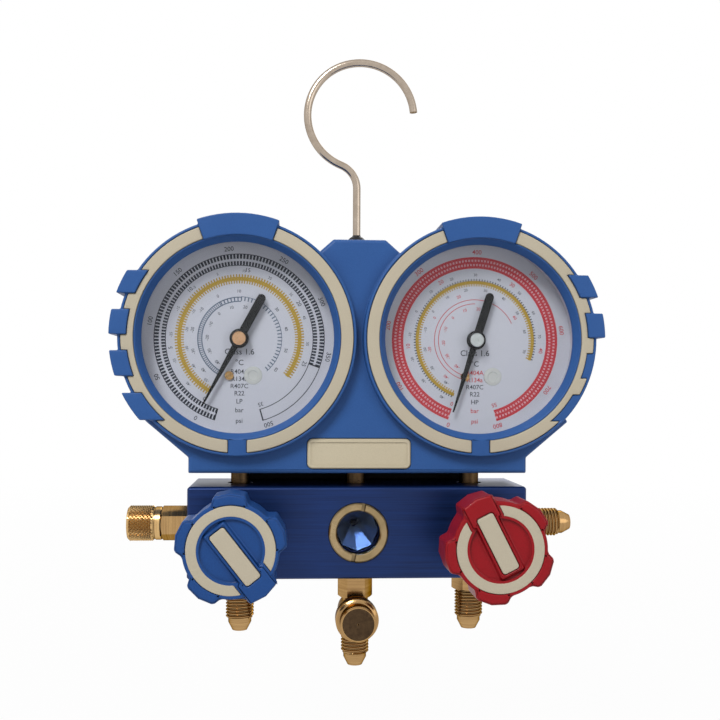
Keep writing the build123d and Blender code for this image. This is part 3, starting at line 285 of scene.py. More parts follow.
# the nickel takes the same painted shade at its grazing edges
nickel_wire = finish("nickel_plated_wire", "b9ab9c", "a39586", 2.5, EVEN, (0.16, 0.24), 0.0, 1.0,
                     Specular_Tint=PAINTED_EDGE_SHADE)
# darkened corners: painted shade and dirt
zinc_steel = finish("zinc_plated_steel", "b6b8ba", "9c9fa3", 0.4, EVEN, (0.28, 0.42), 0.006, 1.0, 0.4)
zinc_cap = finish("zinc_plated_cap", "c2c6c4", "a9adac", 0.4, EVEN, (0.28, 0.42), 0.006, 1.0)
case_black = finish("black_enamelled_steel", "24262c", "1a1b20", 0.5, EVEN, (0.3, 0.42), 0.006)
print("metals:", block_blue.name, nickel_wire.name, zinc_steel.name, case_black.name)

# %% [markdown]
# ## The dial and its inks
#
# A dial is a sheet of aluminium with a white enamel, screen-printed in a few flat inks. Ink
# has a little body, so it is given the same recipe with a very small relief.

# %% Dial and inks
dial_white = finish("white_enamelled_dial", "c9c9d1", "c2c2ca", 0.6, EVEN, (0.4, 0.5), 0.003)
pointer_black = moulded("black_enamelled_pointer", "0d0d0f", "08080a", 0.5, (0.4, 0.5), 0.004, 0.0)
ink_black = finish("dial_ink_black", "1b2130", "161b28", 0.4, EVEN, (0.5, 0.6), 0.002)
ink_red = finish("dial_ink_red", "c42f3a", "b92833", 0.4, EVEN, (0.5, 0.6), 0.002)
ink_pink = finish("dial_ink_pale_red", "d9a9b0", "d2a1a8", 0.4, EVEN, (0.5, 0.6), 0.002)
ink_yellow = finish("dial_ink_ochre", "b4922c", "a58524", 0.4, EVEN, (0.5, 0.6), 0.002)
ink_slate = finish("dial_ink_slate", "5a687c", "525f72", 0.4, EVEN, (0.5, 0.6), 0.002)
print("inks:", ink_black.name, ink_red.name, ink_pink.name, ink_yellow.name, ink_slate.name)

# %% [markdown]
# ## The clear plastics and the sight glass
#
# The lens is acrylic. A path tracer would light the dial behind it wrongly, because it
# doesn't follow light through a refracting sheet, so the rays that only carry light pass
# straight through. The lens is thin and flat, and its IOR is a little below that of real
# acrylic, so that the dial doesn't drown in reflections. The vent plugs are frosted, and
# the sight glass has a slight blue tint.

# %% Clear materials
PASSED = (0.96, 0.97, 0.98, 1.0)


def clear(name, colour, roughness, ior, share=1.0):
    """A see-through plastic that lets the light of the lamps pass straight through."""
    material = finish(name, colour, colour, 0.8, EVEN, roughness, 0.0, Transmission_Weight=share, IOR=ior)
    tree = material.node_tree
    through = add(tree, "BsdfTransparent", {"Color": PASSED})
    rays = add(tree, "LightPath").outputs
    unseen = add(tree, "Math", {0: rays["Is Shadow Ray"], 1: rays["Is Diffuse Ray"]}, operation="MAXIMUM")
    blend(material, unseen.outputs[0], through.outputs[0])
    return material


lens_clear = clear("clear_acrylic_lens", "f7f9fb", (0.0, 0.02), 1.2)
plug_clear = clear("frosted_vent_plug", "d0d3d0", (0.35, 0.5), 1.1, 0.6)
# painted highlight: an opaque pale grey for the glare along the lens edge
rim_glare_grey = finish("pale_rim_painted_glare", "c8ccd4", "bcc0c8", 0.8, EVEN, (0.12, 0.2), 0.0)
sight_clear = clear("sight_glass_blue_tint", "bfcde8", (0.0, 0.02), 1.15)
print("clear:", lens_clear.name, plug_clear.name, rim_glare_grey.name, sight_clear.name)

# %% [markdown]
# ## Finishes for the CAD solids
#
# Each CAD solid names a slot in the record. Solids that stay as they are get the finish of
# their slot here. Brass that is turned about a different axis is named on its own, so the
# tool marks run the right way.

# %% Dress every CAD node
by_slot = {
    "housing_blue": housing_blue, "luminous_cream": cream, "hook_steel": nickel_wire,
    "black_plastic": black_plastic, "zinc_steel": zinc_steel, "black_case": case_black,
    "lens_clear": lens_clear, "dial_white": dial_white, "pointer_black": pointer_black,
    "brass": brass_z, "block_blue": block_blue, "sight_glass": sight_clear,
    "seal_rubber": seal_rubber, "knob_blue": knob_blue, "knob_red": knob_red,
}
# the necks and the spacer under the housing take the dark brass of painted shade
by_node = {"sight_ring": brass_ring, "valve_core": brass_y, "centre_spacer": shade_brass}
for side, _ in SIDES:
    by_node[f"{side}_gauge_socket"] = shade_brass
    for node in ("valve_spindle", "valve_bonnet", "valve_piston", "pointer_pinion"):
        by_node[f"{side}_{node}"] = brass_y
slot_of = {part["node"]: part["material_slot"] for part in frame["record"]["subparts"]}
for name, solid in frame["nodes"].items():
    dressed = by_node.get(name, by_slot[slot_of[name]])
    for holder in solid.material_slots:
        holder.material = dressed
print("dressed", len(slot_of), "solids from", len(by_slot), "slots")

# %% [markdown]
# ## Pieces
#
# A new piece is modelled in a bmesh, in millimetres, where the numbers are easy to read. One
# function shrinks it to metres, turns its faces outward, gives it a name and a finish, and
# says which body of the mechanism carries it. Its place stays in its mesh, so the object
# itself sits unturned at the origin, as the CAD nodes do.

# %% Make a piece
def stand(name, data):
    """Put an object that holds the data into the scene."""
    thing = bpy.data.objects.new(name, data)
    bpy.context.scene.collection.objects.link(thing)
    return thing


def mesh_of(name, bm, material):
    """Turn a bmesh into a mesh with one material, and free the bmesh."""
    mesh = bpy.data.meshes.new(name)
    bm.to_mesh(mesh)
    bm.free()
    mesh.materials.append(material)
    return mesh


def place(name, bm, material, body, stands_for=(), smooth=35):
    """A piece from a bmesh in metres; edges sharper than smooth degrees stay sharp."""
    mesh = mesh_of(name, bm, material)
    mesh.shade_smooth()
    mesh.set_sharp_from_angle(angle=radians(smooth))
    piece = stand(name, mesh)
    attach(piece, body)
    if stands_for:
        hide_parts(*stands_for)
    print(name, len(mesh.polygons), "faces")
    return piece


def make(name, bm, material, body, stands_for=(), smooth=35):
    """A piece from a bmesh in millimetres, with its faces turned outward."""
    bmesh.ops.recalc_face_normals(bm, faces=bm.faces)
    bmesh.ops.scale(bm, vec=(MM, MM, MM), verts=bm.verts)
    place(name, bm, material, body, stands_for, smooth)


print("one millimetre is", MM, "of Blender's metre")

# %% [markdown]
# ## Softened edges
#
# No moulded or machined edge is truly sharp: it is rounded by a few tenths of a millimetre,
# and that rounding is what catches the light. The CAD solid comes as loose triangles, so a
# copy of it is welded first, and the edges between faces that meet at an angle are then
# bevelled. The flat triangles are left as they are: joining them would make faces with
# holes in them, which a mesh can't hold. A bevel that meets a very short edge throws a
# corner out of the solid, so each corner that ends up too far off is put back on it, and
# none leaves the solid's box. The block's front is linished wider at its two ends, where
# the light then runs down the edge. A modifier evens the shading across the new edges.

# %% Soften a solid
WELD = 0.002
NEAR = 1e-6
ASTRAY = 0.5


def bevel(bm, edges, width, segments):
    bmesh.ops.bevel(bm, geom=edges, offset=width * MM, offset_type="OFFSET", segments=segments, profile=0.5,
                    affect="EDGES", clamp_overlap=False, material=-1)


def soften(node, width, material, body, angle=28, segments=2, linished=0.0):
    """Replace a CAD node by a copy whose edges sharper than angle are bevelled by width mm."""
    bm = bmesh.new()
    bm.from_mesh(frame["nodes"][node].data)
    bmesh.ops.remove_doubles(bm, verts=bm.verts, dist=WELD * MM)
    low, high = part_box(node)
    if linished:
        corners = {v for v in bm.verts if v.co.y < low.y + NEAR and abs(v.co.x) > high.x - NEAR}
        ends = [e for e in bm.edges if corners.issuperset(e.verts)]
        bevel(bm, ends, linished, 4)
    solid = BVHTree.FromBMesh(bm)
    sharp = [e for e in bm.edges if e.is_manifold and e.calc_face_angle(0) > radians(angle)]
    bevel(bm, sharp, width, segments)
    for v in bm.verts:
        spot_on, _, _, off = solid.find_nearest(v.co)
        if off > ASTRAY * width * MM:
            v.co = spot_on
        v.co = [min(max(c, a), b) for c, a, b in zip(v.co, low, high)]
    piece = place(node + "_soft", bm, material, body, (node,))
    piece.modifiers.new("even shading", "WEIGHTED_NORMAL").keep_sharp = True


soften("housing_front", 0.45, housing_blue, "manifold")
soften("housing_rear", 0.45, housing_blue, "manifold")
soften("name_plate", 0.3, plate_cream, "manifold")
soften("manifold_block", 0.3, block_blue, "manifold", linished=1.2)

# %% [markdown]
# ## The rim of the name plate
#
# The name plate has a low rim round its bare field. A flat sheet gets rounded corners from a
# bevel of its four vertices, an inset leaves the rim, the field inside it is thrown away,
# and solidifying what is left gives the rim its height.

# %% Rim
PLATE_SIZE, CORNER, RIM_WIDTH, RIM_RISE = (38.6, 10.5, 1.0), 1.7, 0.9, 0.35
bm = bmesh.new()
bmesh.ops.create_grid(bm, x_segments=1, y_segments=1, size=0.5)
bmesh.ops.scale(bm, vec=PLATE_SIZE, verts=bm.verts)
bmesh.ops.bevel(bm, geom=list(bm.verts), offset=CORNER, offset_type="OFFSET", segments=6, profile=0.5,
                affect="VERTICES", material=-1)
bmesh.ops.inset_region(bm, faces=list(bm.faces), thickness=RIM_WIDTH, depth=0.0, use_even_offset=True,
                       use_boundary=True)
field = max(bm.faces, key=lambda f: f.calc_area())
bmesh.ops.delete(bm, geom=[field], context="FACES_ONLY")
bmesh.ops.solidify(bm, geom=list(bm.faces), thickness=RIM_RISE)
low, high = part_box("name_plate")
plate = (low + high) / 2 / MM
plate.y = low.y / MM - RIM_RISE
turned = Matrix.Translation(plate) @ Matrix.Rotation(pi / 2, 4, "X")
bmesh.ops.transform(bm, matrix=turned, verts=bm.verts)
make("name_plate_rim", bm, plate_cream, "manifold")

# %% [markdown]
# ## The inlays round the gauges
#
# Each gauge is framed by a flat luminous ring that is pressed into the housing. It stands a
# little proud, so its edges are softened on their own.

# %% Inlays
for side, _ in SIDES:
    soften(f"{side}_ring_inlay", 0.35, cream, "manifold")

# %% [markdown]
# ## Handwheels
#
# The handwheels are moulded caps with lobes for the fingers. A cream ring and a cream bar
# are pressed into the face. Every edge that a hand meets is well rounded, so these bevels
# are wider than the housing's.

# %% Handwheels
for side, knob, slot in (("left", knob_blue, "knob_blue"), ("right", knob_red, "knob_red")):
    soften(f"{side}_handwheel", 0.75, knob, f"{side}_wheel", segments=4)
    soften(f"{side}_handwheel_ring", 0.25, cream, f"{side}_wheel")
    soften(f"{side}_handwheel_label", 0.3, cream, f"{side}_wheel")

# %% [markdown]
# ## Turned parts
#
# A turned part is a half section spun round its axis, which is how the lathe makes it too.
# The section is drawn in the XZ plane as radius and height. The spin is merged where it
# closes, and the part is then laid down along the direction in which it points. A spin of
# only eight steps makes facets instead of a round.

# %% Turning and laying
STEPS = 64
POINTING = {
    "down": Matrix.Rotation(pi, 4, "X"),
    "front": Matrix.Rotation(pi / 2, 4, "X"),
    "left": Matrix.Rotation(-pi / 2, 4, "Y"),
    "right": Matrix.Rotation(pi / 2, 4, "Y"),
}


def turn(bm, section, closed=True, steps=STEPS):
    """Spin a half section of (radius, height) points about Z."""
    points = [bm.verts.new((r, 0, z)) for r, z in section]
    pairs = list(zip(points, points[1:]))
    if closed:
        pairs.append((points[-1], points[0]))
    line = [bm.edges.new(pair) for pair in pairs]
    bmesh.ops.spin(bm, geom=points + line, cent=(0, 0, 0), axis=(0, 0, 1), dvec=(0, 0, 0),
                   angle=2 * pi, steps=steps, use_merge=True, use_duplicate=False)


def lay(bm, verts, where, pointing, roll=0.0):
    """Move what was turned about Z to its place and its direction."""
    turned = Matrix.Translation(where) @ POINTING[pointing] @ Matrix.Rotation(radians(roll), 4, "Z")
    bmesh.ops.transform(bm, matrix=turned, verts=verts)


def newer(bm, old):
    """The vertices that were made since old was noted."""
    return [v for v in bm.verts if v not in old]


def trim(bm, old, spot_on, normal):
    """Cut the newer part off where it passes a plane, and return the edges of the cut."""
    verts = newer(bm, old)
    edges = [e for e in bm.edges if e.verts[0] not in old]
    faces = [f for f in bm.faces if f.verts[0] not in old]
    cut = bmesh.ops.bisect_plane(bm, geom=verts + edges + faces, dist=1e-5, plane_co=spot_on,
                                 plane_no=normal, clear_outer=True)
    return [e for e in cut["geom_cut"] if isinstance(e, bmesh.types.BMEdge)]


print("each step of a full turn is", 360 / STEPS, "degrees")

# %% [markdown]
# ## The hexagon
#
# Hexagon bar is chamfered on the lathe before the part is cut off, which leaves the curved
# corners that every nut shows. The piece is made the same way: a chamfered disc is turned
# first, and six flats are then cut from it, with each cut closed by a new face. All the
# hexagons here are 12 mm across their flats.

# %% Hexagon nuts
FLATS, BORE = 12.0, 2.0
FACE_SHARE, CHAMFER_SHARE = 0.985, 0.62


def hexagon(bm, length):
    """A nut that stands on the origin, with chamfered corners at both ends."""
    old = set(bm.verts)
    corner = FLATS / 2 / cos(radians(30))
    edge, drop = FLATS / 2 * FACE_SHARE, (corner - FLATS / 2) * CHAMFER_SHARE
    turn(bm, [(BORE, 0), (edge, 0), (corner, drop), (corner, length - drop), (edge, length), (BORE, length)])
    for side in range(6):
        normal = Vector((cos(radians(60 * side)), sin(radians(60 * side)), 0))
        rim = trim(bm, old, normal * FLATS / 2, normal)
        bmesh.ops.edgeloop_fill(bm, edges=[e for e in rim if e.is_boundary])


trial = bmesh.new()
hexagon(trial, 6.2)
print("a nut has", len(trial.faces), "faces")
trial.free()

# %% [markdown]
# ## The thread
#
# A 7/16-20 flare thread rises 1.27 mm in each turn. A zigzag line along the part is spun
# once round the axis while it slides forward by one pitch. Its end then lies on its own
# start, one tooth further on, and merging the doubles leaves one continuous helix. Two cuts
# make the ends square, and a cone takes the corner off the first and last turn. The open
# ends are drawn inward and bridged, which closes the thread inside the fitting.

# %% Threads
PITCH, CREST, ROOT = 1.27, 5.56, 4.94
THREAD_CONE = 0.7
THREAD_INSIDE = 3.0
TOOTH = ((0.0, ROOT), (0.12, ROOT), (0.44, CREST), (0.62, CREST))


def thread(bm, start, length):
    """A thread from height start; TOOTH gives its radii at shares of the pitch."""
    old = set(bm.verts)
    low = start - 2 * PITCH
    points = []
    for tooth in range(int(length / PITCH) + 4):
        for share, r in TOOTH:
            points.append(bm.verts.new((r, 0, low + (tooth + share) * PITCH)))
    line = [bm.edges.new(pair) for pair in zip(points, points[1:])]
    bmesh.ops.spin(bm, geom=points + line, cent=(0, 0, 0), axis=(0, 0, 1), dvec=(0, 0, PITCH / STEPS),
                   angle=2 * pi, steps=STEPS, use_merge=False, use_duplicate=False)
    bmesh.ops.remove_doubles(bm, verts=newer(bm, old), dist=0.01)
    for height, normal in ((start, -1), (start + length, 1)):
        trim(bm, old, (0, 0, height), (0, 0, normal))
    for v in newer(bm, old):
        from_end = min(v.co.z - start, start + length - v.co.z)
        most = CREST - THREAD_CONE + from_end
        if v.co.xy.length > most:
            v.co.xy *= most / v.co.xy.length
    ends = [e for e in bm.edges if e.is_boundary and e.verts[0] not in old]
    made = bmesh.ops.extrude_edge_only(bm, edges=ends)
    for v in made["geom"]:
        if isinstance(v, bmesh.types.BMVert):
            v.co.xy *= THREAD_INSIDE / v.co.xy.length
    inner = [e for e in bm.edges if e.is_boundary and e.verts[0] not in old]
    bmesh.ops.bridge_loops(bm, edges=inner)


print("a thread 10 mm long has", round(10 / PITCH, 1), "turns")

# %% [markdown]
# ## Flare fittings
#
# Each hose port is a brass fitting: a spigot that screws into the block, a hexagon for the
# spanner, a flare thread, and a plain nose with a cone on which the hose seals. The bore
# runs through it, and it is dark because it is deep.

# %% The two hose ports and the two side ports
CORE, NECK, LIP = 4.7, 4.6, 2.95
NECK_LENGTH, NOSE_LENGTH = 1.6, 4.8
SPIGOT, SPIGOT_LENGTH = 4.76, 8.2
CAPPED_HEX = 11.6


def flare_end(bm, start, thread_length):
    end = start + thread_length
    turn(bm, [(BORE, start), (CORE, start), (CORE, end - 0.3), (NECK, end), (NECK, end + NECK_LENGTH),
              (LIP, end + NOSE_LENGTH), (BORE, end + NOSE_LENGTH)])
    thread(bm, start, thread_length)


def spigot(bm):
    turn(bm, [(BORE, -SPIGOT_LENGTH), (SPIGOT, -SPIGOT_LENGTH), (SPIGOT, 0), (BORE, 0)])


def port(name, stands_for, material, hex_length, spots, thread_length=10.8):
    """A port at each spot, which gives where it leaves the block and the way it points."""
    bm = bmesh.new()
    for where, pointing in spots:
        old = set(bm.verts)
        hexagon(bm, hex_length)
        flare_end(bm, hex_length, thread_length)
        spigot(bm)
        lay(bm, newer(bm, old), where, pointing, 30.0)
    make(name, bm, material, "manifold", stands_for)


port("hose_ports", ("port_fittings",), brass_z, 7.6,
     [((-GAUGE_X, 0, UNDER), "down"), ((GAUGE_X, 0, UNDER), "down")])
port("right_side_port", ("right_park_fitting",), brass_x, 6.2, [((BLOCK_END, 0, SIDE_Z), "right")])
port("left_side_port", ("left_park_fitting",), brass_x, CAPPED_HEX,
     [((-BLOCK_END, 0, SIDE_Z), "left")], 7.2)

# %% [markdown]
# ## The knurled cap
#
# The cap on the left side port is knurled, so that it can be turned with wet fingers. Two
# knurling wheels press crossing grooves into the brass and leave small pyramids. A spun
# grid in which every second corner stands proud has just that shape, once each face is
# split along its groove. The pyramids stand about 1.4 mm apart, which is a coarse knurl, so
# that they show.

# %% Knurl
ROWS, COLUMNS = 14, 60
KNURL_START, KNURL_LENGTH = 3.0, 10.0
VALLEY, PEAK = 6.4, 7.05

bm = bmesh.new()
turn(bm, [(VALLEY, KNURL_START + KNURL_LENGTH * row / ROWS) for row in range(ROWS + 1)], False, COLUMNS)
for v in bm.verts:
    row = round((v.co.z - KNURL_START) * ROWS / KNURL_LENGTH)
    column = round(atan2(v.co.y, v.co.x) * COLUMNS / (2 * pi))
    if 0 < row < ROWS and (row + column) % 2:
        v.co.xy *= PEAK / VALLEY
for f in list(bm.faces):
    groove = [v for v in f.verts if v.co.xy.length < (VALLEY + PEAK) / 2]
    if len(groove) == 2:
        bmesh.ops.connect_verts(bm, verts=groove)
print("pyramids:", len([v for v in bm.verts if v.co.xy.length > (VALLEY + PEAK) / 2]))

# %% [markdown]
# ## The body of the cap
#
# Under the knurl the cap is a plain turned cup with a collar at its mouth. Its core lies
# under the peaks and a hair over the valleys, so no gap opens between the two.

# %% Cap body
turn(bm, [(5.9, 0), (6.3, 0), (6.6, 0.3), (6.6, 2.3), (6.2, 2.6), (6.2, 3.1), (6.45, 3.1),
          (6.45, 12.9), (6.2, 13.2), (0.4, 13.2), (0.4, 12.3), (5.9, 12.3)])
lay(bm, bm.verts, (-BLOCK_END - CAPPED_HEX, 0, SIDE_Z), "left")
make("knurled_cap", bm, brass_knurled, "left_park_cap", ("left_park_cap",))

# %% [markdown]
# ## The centre tee and its cap
#
# The middle port is a tee: its branch points at the fitter and is closed by a round cap,
# and its lower end takes the hose. The cap has two raised rims for the fingers, and its
# front is faced on the lathe, which leaves fine rings.

# %% Tee
TEE_HEX, TEE_LENGTH = 10.4, 23.9
BRANCH, BRANCH_BORE, BRANCH_HALF, BRANCH_THREAD = 6.6, 2.3, 8.2, 10.0

bm = bmesh.new()
spigot(bm)
hexagon(bm, TEE_HEX)
turn(bm, [(BORE, TEE_HEX), (5.2, TEE_HEX), (5.2, TEE_LENGTH), (BORE, TEE_LENGTH)])
flare_end(bm, TEE_LENGTH, 8.8)
lay(bm, bm.verts, (0, 0, UNDER), "down", 30.0)
old = set(bm.verts)
turn(bm, [(BRANCH_BORE, -BRANCH_HALF), (BRANCH - 0.6, -BRANCH_HALF), (BRANCH, 0.6 - BRANCH_HALF),
          (BRANCH, BRANCH_HALF), (BRANCH_BORE, BRANCH_HALF)])
tip = BRANCH_HALF + BRANCH_THREAD
turn(bm, [(BRANCH_BORE, BRANCH_HALF), (4.9, BRANCH_HALF), (4.9, tip), (BRANCH_BORE, tip)])
thread(bm, BRANCH_HALF, BRANCH_THREAD)
lay(bm, newer(bm, old), (0, 0, TEE_Z), "front")
make("tee_body", bm, brass_z, "manifold", ("centre_tee",))

# %% Round cap
bm = bmesh.new()
turn(bm, [(5.9, 0), (8.0, 0), (8.4, 0.4), (8.4, 2.0), (8.1, 2.4), (8.1, 3.6), (8.4, 4.0), (8.4, 5.4),
          (7.8, 6.0), (6.85, 6.3), (6.85, 11.6), (6.4, 12.1), (6.1, 12.1), (6.0, 11.9), (0.3, 11.9),
          (0.3, 10.3), (5.9, 10.3)])
lay(bm, bm.verts, (0, -BRANCH_HALF, TEE_Z), "front")
make("round_cap", bm, brass_y, "centre_cap", ("centre_cap",))

# %% Faced front of the cap
RING_PITCH, RING_DEPTH = 0.4, 0.05
bm = bmesh.new()
rings = [(RING_PITCH * (1 + count), 12.02 + RING_DEPTH * (count % 2)) for count in range(14)]
turn(bm, [(RING_PITCH, 11.9)] + rings + [(5.95, 12.0), (5.95, 11.9)])
lay(bm, bm.verts, (0, -BRANCH_HALF, TEE_Z), "front")
make("round_cap_face", bm, brass_faced, "centre_cap")

# %% [markdown]
# ## The well of the sight glass
#
# Behind the glass the liquid runs through a well with eight sloping facets, which meet at
# the drilled hole. They throw the light back at the eye when the well is full. It is a
# half section spun in eight steps, and its narrow end is then shifted to the hole.

# %% Sight well
FACETS, WELL, HOLE = 8, 8.2, 1.8
HOLE_SHIFT = Vector((-1.0, 2.6, 0))

bm = bmesh.new()
turn(bm, [(WELL, 9.4), (WELL, 8.0), (HOLE, 5.1), (HOLE, 5.5)], steps=FACETS)
for v in bm.verts:
    if v.co.xy.length < (WELL + HOLE) / 2:
        v.co += HOLE_SHIFT
lay(bm, bm.verts, (0, 0, SIGHT_Z), "front")
make("sight_well", bm, well_blue, "manifold", smooth=5)

# %% [markdown]
# ## The hook's bush
#
# The hook turns in a black bush that is pressed into the top of the housing. Its head is a
# low dome, so that rain runs off. The dome is part of an arc in a few short steps.

# %% Bush
HEAD, SHANK, WIRE_HOLE = 4.35, 3.15, 1.65

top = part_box("hook_bush")[1].z / MM
seat = top - 5.9
bm = bmesh.new()
dome = [(HEAD * cos(radians(a)), seat + 4.4 * sin(radians(a))) for a in range(10, 70, 8)]
turn(bm, [(WIRE_HOLE, top - 8.5), (SHANK, top - 8.5), (SHANK, seat), (HEAD, seat)] + dome
     + [(WIRE_HOLE, top - 1.5)])
make("low_bush", bm, black_plastic, "manifold", ("hook_bush",))

# %% [markdown]
# ## The dark strip in the gap
#
# A dark strip of rubber lies on the block behind the gauges' necks and closes the gap to the
# light, so the gap stays dark: a dark thing put where shade falls, which is painted shade. A
# bar with well-rounded edges is enough.

# %% Dark strip in the gap
STRIP = (95.0, 3.6, 5.2)
STRIP_BACK = 11.9

bm = bmesh.new()
bmesh.ops.create_cube(bm, size=1.0)
bmesh.ops.scale(bm, vec=STRIP, verts=bm.verts)
bmesh.ops.bevel(bm, geom=list(bm.edges), offset=1.2, offset_type="OFFSET", segments=3, profile=0.5,
                affect="EDGES", clamp_overlap=True, material=-1)
bmesh.ops.translate(bm, vec=(0, STRIP_BACK, DECK + STRIP[2] / 2), verts=bm.verts)
# painted shade: a dark bar that stands in for the shade in the gap
make("gap_shade_strip", bm, seal_rubber, "manifold")

# %% [markdown]
# ## Printing the dials
#
# Each dial carries three scales that share one pointer: pressure outside, and temperatures
# further in. A printer would lay them down as flat ink, so each ink here is one thin mesh,
# a few hundredths of a millimetre in front of the enamel. A band is a short spoke spun
# round the dial's centre, and a tick is a band of one step. Angles are counted
# anticlockwise from three o'clock.

# %% Bands and ticks
DIAL_Y = -11.0
INK_LIFT, WORD_LIFT, UNDERPRINT_LIFT = 0.03, 0.04, 0.01
BAND_STEP = 3


def spot(x, radius, angle, lift):
    """A point lift mm in front of the dial, from its centre's x, a radius and an angle."""
    return Vector((x + radius * cos(radians(angle)), DIAL_Y - lift, GAUGE_Z + radius * sin(radians(angle))))


def band(bm, x, inner, outer, start, stop, lift=INK_LIFT):
    spoke = [bm.verts.new(spot(x, radius, start, lift)) for radius in (inner, outer)]
    edge = bm.edges.new(spoke)
    bmesh.ops.spin(bm, geom=spoke + [edge], cent=(x, 0, GAUGE_Z), axis=(0, -1, 0), dvec=(0, 0, 0),
                   angle=radians(stop - start), steps=max(1, int((stop - start) / BAND_STEP)),
                   use_duplicate=False)


def ticks(bm, x, inner, outer, start, stop, pitch, width):
    """Ticks of width degrees, one in the middle of each pitch."""
    for count in range(int((stop - start) / pitch + 0.5)):
        middle = start + (count + 0.5) * pitch
        band(bm, x, inner, outer, middle - width / 2, middle + width / 2)


def printed(name, bm, ink):
    """Turn the ink's faces to the reader and put it on the manifold."""
    wrong = [f for f in bm.faces if f.normal.y > 0]
    bmesh.ops.reverse_faces(bm, faces=wrong)
    bmesh.ops.scale(bm, vec=(MM, MM, MM), verts=bm.verts)
    place(name, bm, ink, "manifold")


print("ink lies", INK_LIFT, "mm in front of the enamel")

# %% [markdown]
# ## Lettering
#
# A text object sets the numbers and words. It is made a mesh at once, laid flat on the dial
# and added to the ink's bmesh, so each ink stays one piece. Four sizes are enough, from the
# bold pressure numbers to the fine temperature ones.

# %% Words and numbers
BIG, MEDIUM, SMALL, FINE = 2.5, 2.2, 1.7, 1.5
CLASS_SIZE, UNIT_SIZE = 3.2, 3.0
BOLDER = 0.006


def print_word(bm, text, where, size, turned=0.0):
    """Set a word, make it a mesh, and stand it on the dial facing the reader."""
    font = bpy.data.curves.new("lettering", "FONT")
    font.body, font.size, font.resolution_u = text, size, 3
    font.align_x, font.align_y, font.offset = "CENTER", "CENTER", BOLDER * size
    holder = bpy.data.objects.new("lettering", font)
    letters = bpy.data.meshes.new_from_object(holder)
    upright = Matrix.Translation(where) @ Matrix.Rotation(radians(turned), 4, (0, -1, 0))
    letters.transform(upright @ Matrix.Rotation(pi / 2, 4, "X"))
    bm.from_mesh(letters)
    bpy.data.objects.remove(holder)
    bpy.data.curves.remove(font)
    bpy.data.meshes.remove(letters)


def numbers(bm, x, radius, first, last, values, size):
    """Numbers spread evenly from first to last degrees, with their tops outward."""
    for count, value in enumerate(values):
        angle = first + (last - first) * count / (len(values) - 1)
        print_word(bm, str(value), spot(x, radius, angle, WORD_LIFT), size, angle - 90)


def rows(bm, x, words, size):
    """Words under each other, each with its drop below the dial's centre."""
    for drop, text in words:
        print_word(bm, text, (x, DIAL_Y - WORD_LIFT, GAUGE_Z - drop), size)


print("the bold numbers are", BIG, "mm high, the fine ones", FINE, "mm")

# %% [markdown]
# ## The low-pressure dial
#
# The left gauge reads suction pressure. Its black scale has two rows of small blocks between
# two lines, and it ends in a plain retard band, where the pointer may stray when the plant
# stands still. The ochre and slate scales further in give the temperatures.

# %% Low-pressure dial, black
ZERO, FULL, BAND_END = 253.3, -20, -74
left_x = -GAUGE_X

bm = bmesh.new()
for radius in (28.3, 32.7):
    band(bm, left_x, radius, radius + 0.3, BAND_END, ZERO)
ticks(bm, left_x, 28.6, 30.1, FULL, ZERO, 2.3, 1.55)
ticks(bm, left_x, 31.0, 32.7, FULL, ZERO, 2.3, 1.55)
for angle in (-73.7, -19.5, 253.0):
    band(bm, left_x, 28.3, 33.0, angle - 0.5, angle + 0.5)
numbers(bm, left_x, 34.9, 241.4, -11.3, range(0, 351, 50), BIG)
print_word(bm, "500", spot(left_x, 34.9, -71, WORD_LIFT), BIG, -161)
numbers(bm, left_x, 26.7, 240.0, -21.0, (0, 5, 10, 15, 20, 25), MEDIUM)
print_word(bm, "35", spot(left_x, 26.6, -72, WORD_LIFT), MEDIUM, -162)
numbers(bm, left_x, 12.4, 228.0, 80.0, range(-40, 21, 10), SMALL)
numbers(bm, left_x, 18.4, 222.0, -40.0, range(-40, 61, 10), SMALL)
numbers(bm, left_x, 20.5, 232.0, 150.0, range(-50, -9, 10), FINE)
numbers(bm, left_x, 26.3, 222.0, -4.0, range(-45, 56, 10), FINE)
rows(bm, left_x, ((5.1, "Class 1.6"),), CLASS_SIZE)
rows(bm, left_x, ((9.3, "\u00b0C"),), UNIT_SIZE)
rows(bm, left_x, ((12.8, "R404A"), (15.6, "R134a"), (18.4, "R407C"), (21.2, "R22"), (24.3, "LP"),
                  (27.7, "bar"), (31.8, "psi")), BIG)
printed("low_dial_black_ink", bm, ink_black)

# %% Low-pressure dial, ochre and slate
bm = bmesh.new()
band(bm, left_x, 22.5, 24.0, -38.3, 240.3)
for inner, outer in ((21.4, 22.5), (24.0, 25.0)):
    ticks(bm, left_x, inner, outer, -38.3, 240.3, 2.6, 1.3)
printed("low_dial_ochre_ink", bm, ink_yellow)

bm = bmesh.new()
for radius in (14.3, 15.9):
    band(bm, left_x, radius, radius + 0.4, 88, 238)
ticks(bm, left_x, 14.7, 16.2, -50, 118, 5.0, 1.7)
ticks(bm, left_x, 14.7, 15.9, 118, 238, 3.0, 1.2)
band(bm, left_x, 16.2, 16.45, -50, 88)
printed("low_dial_slate_ink", bm, ink_slate)

# %% [markdown]
# ## The high-pressure dial
#
# The right gauge reads condensing pressure. Its scale is three red lines with two rows of
# red dashes between them, over a band of a paler red that shows in the gaps.

# %% High-pressure dial, reds
HIGH_ZERO, HIGH_FULL = 251.3, -74.6
right_x = GAUGE_X

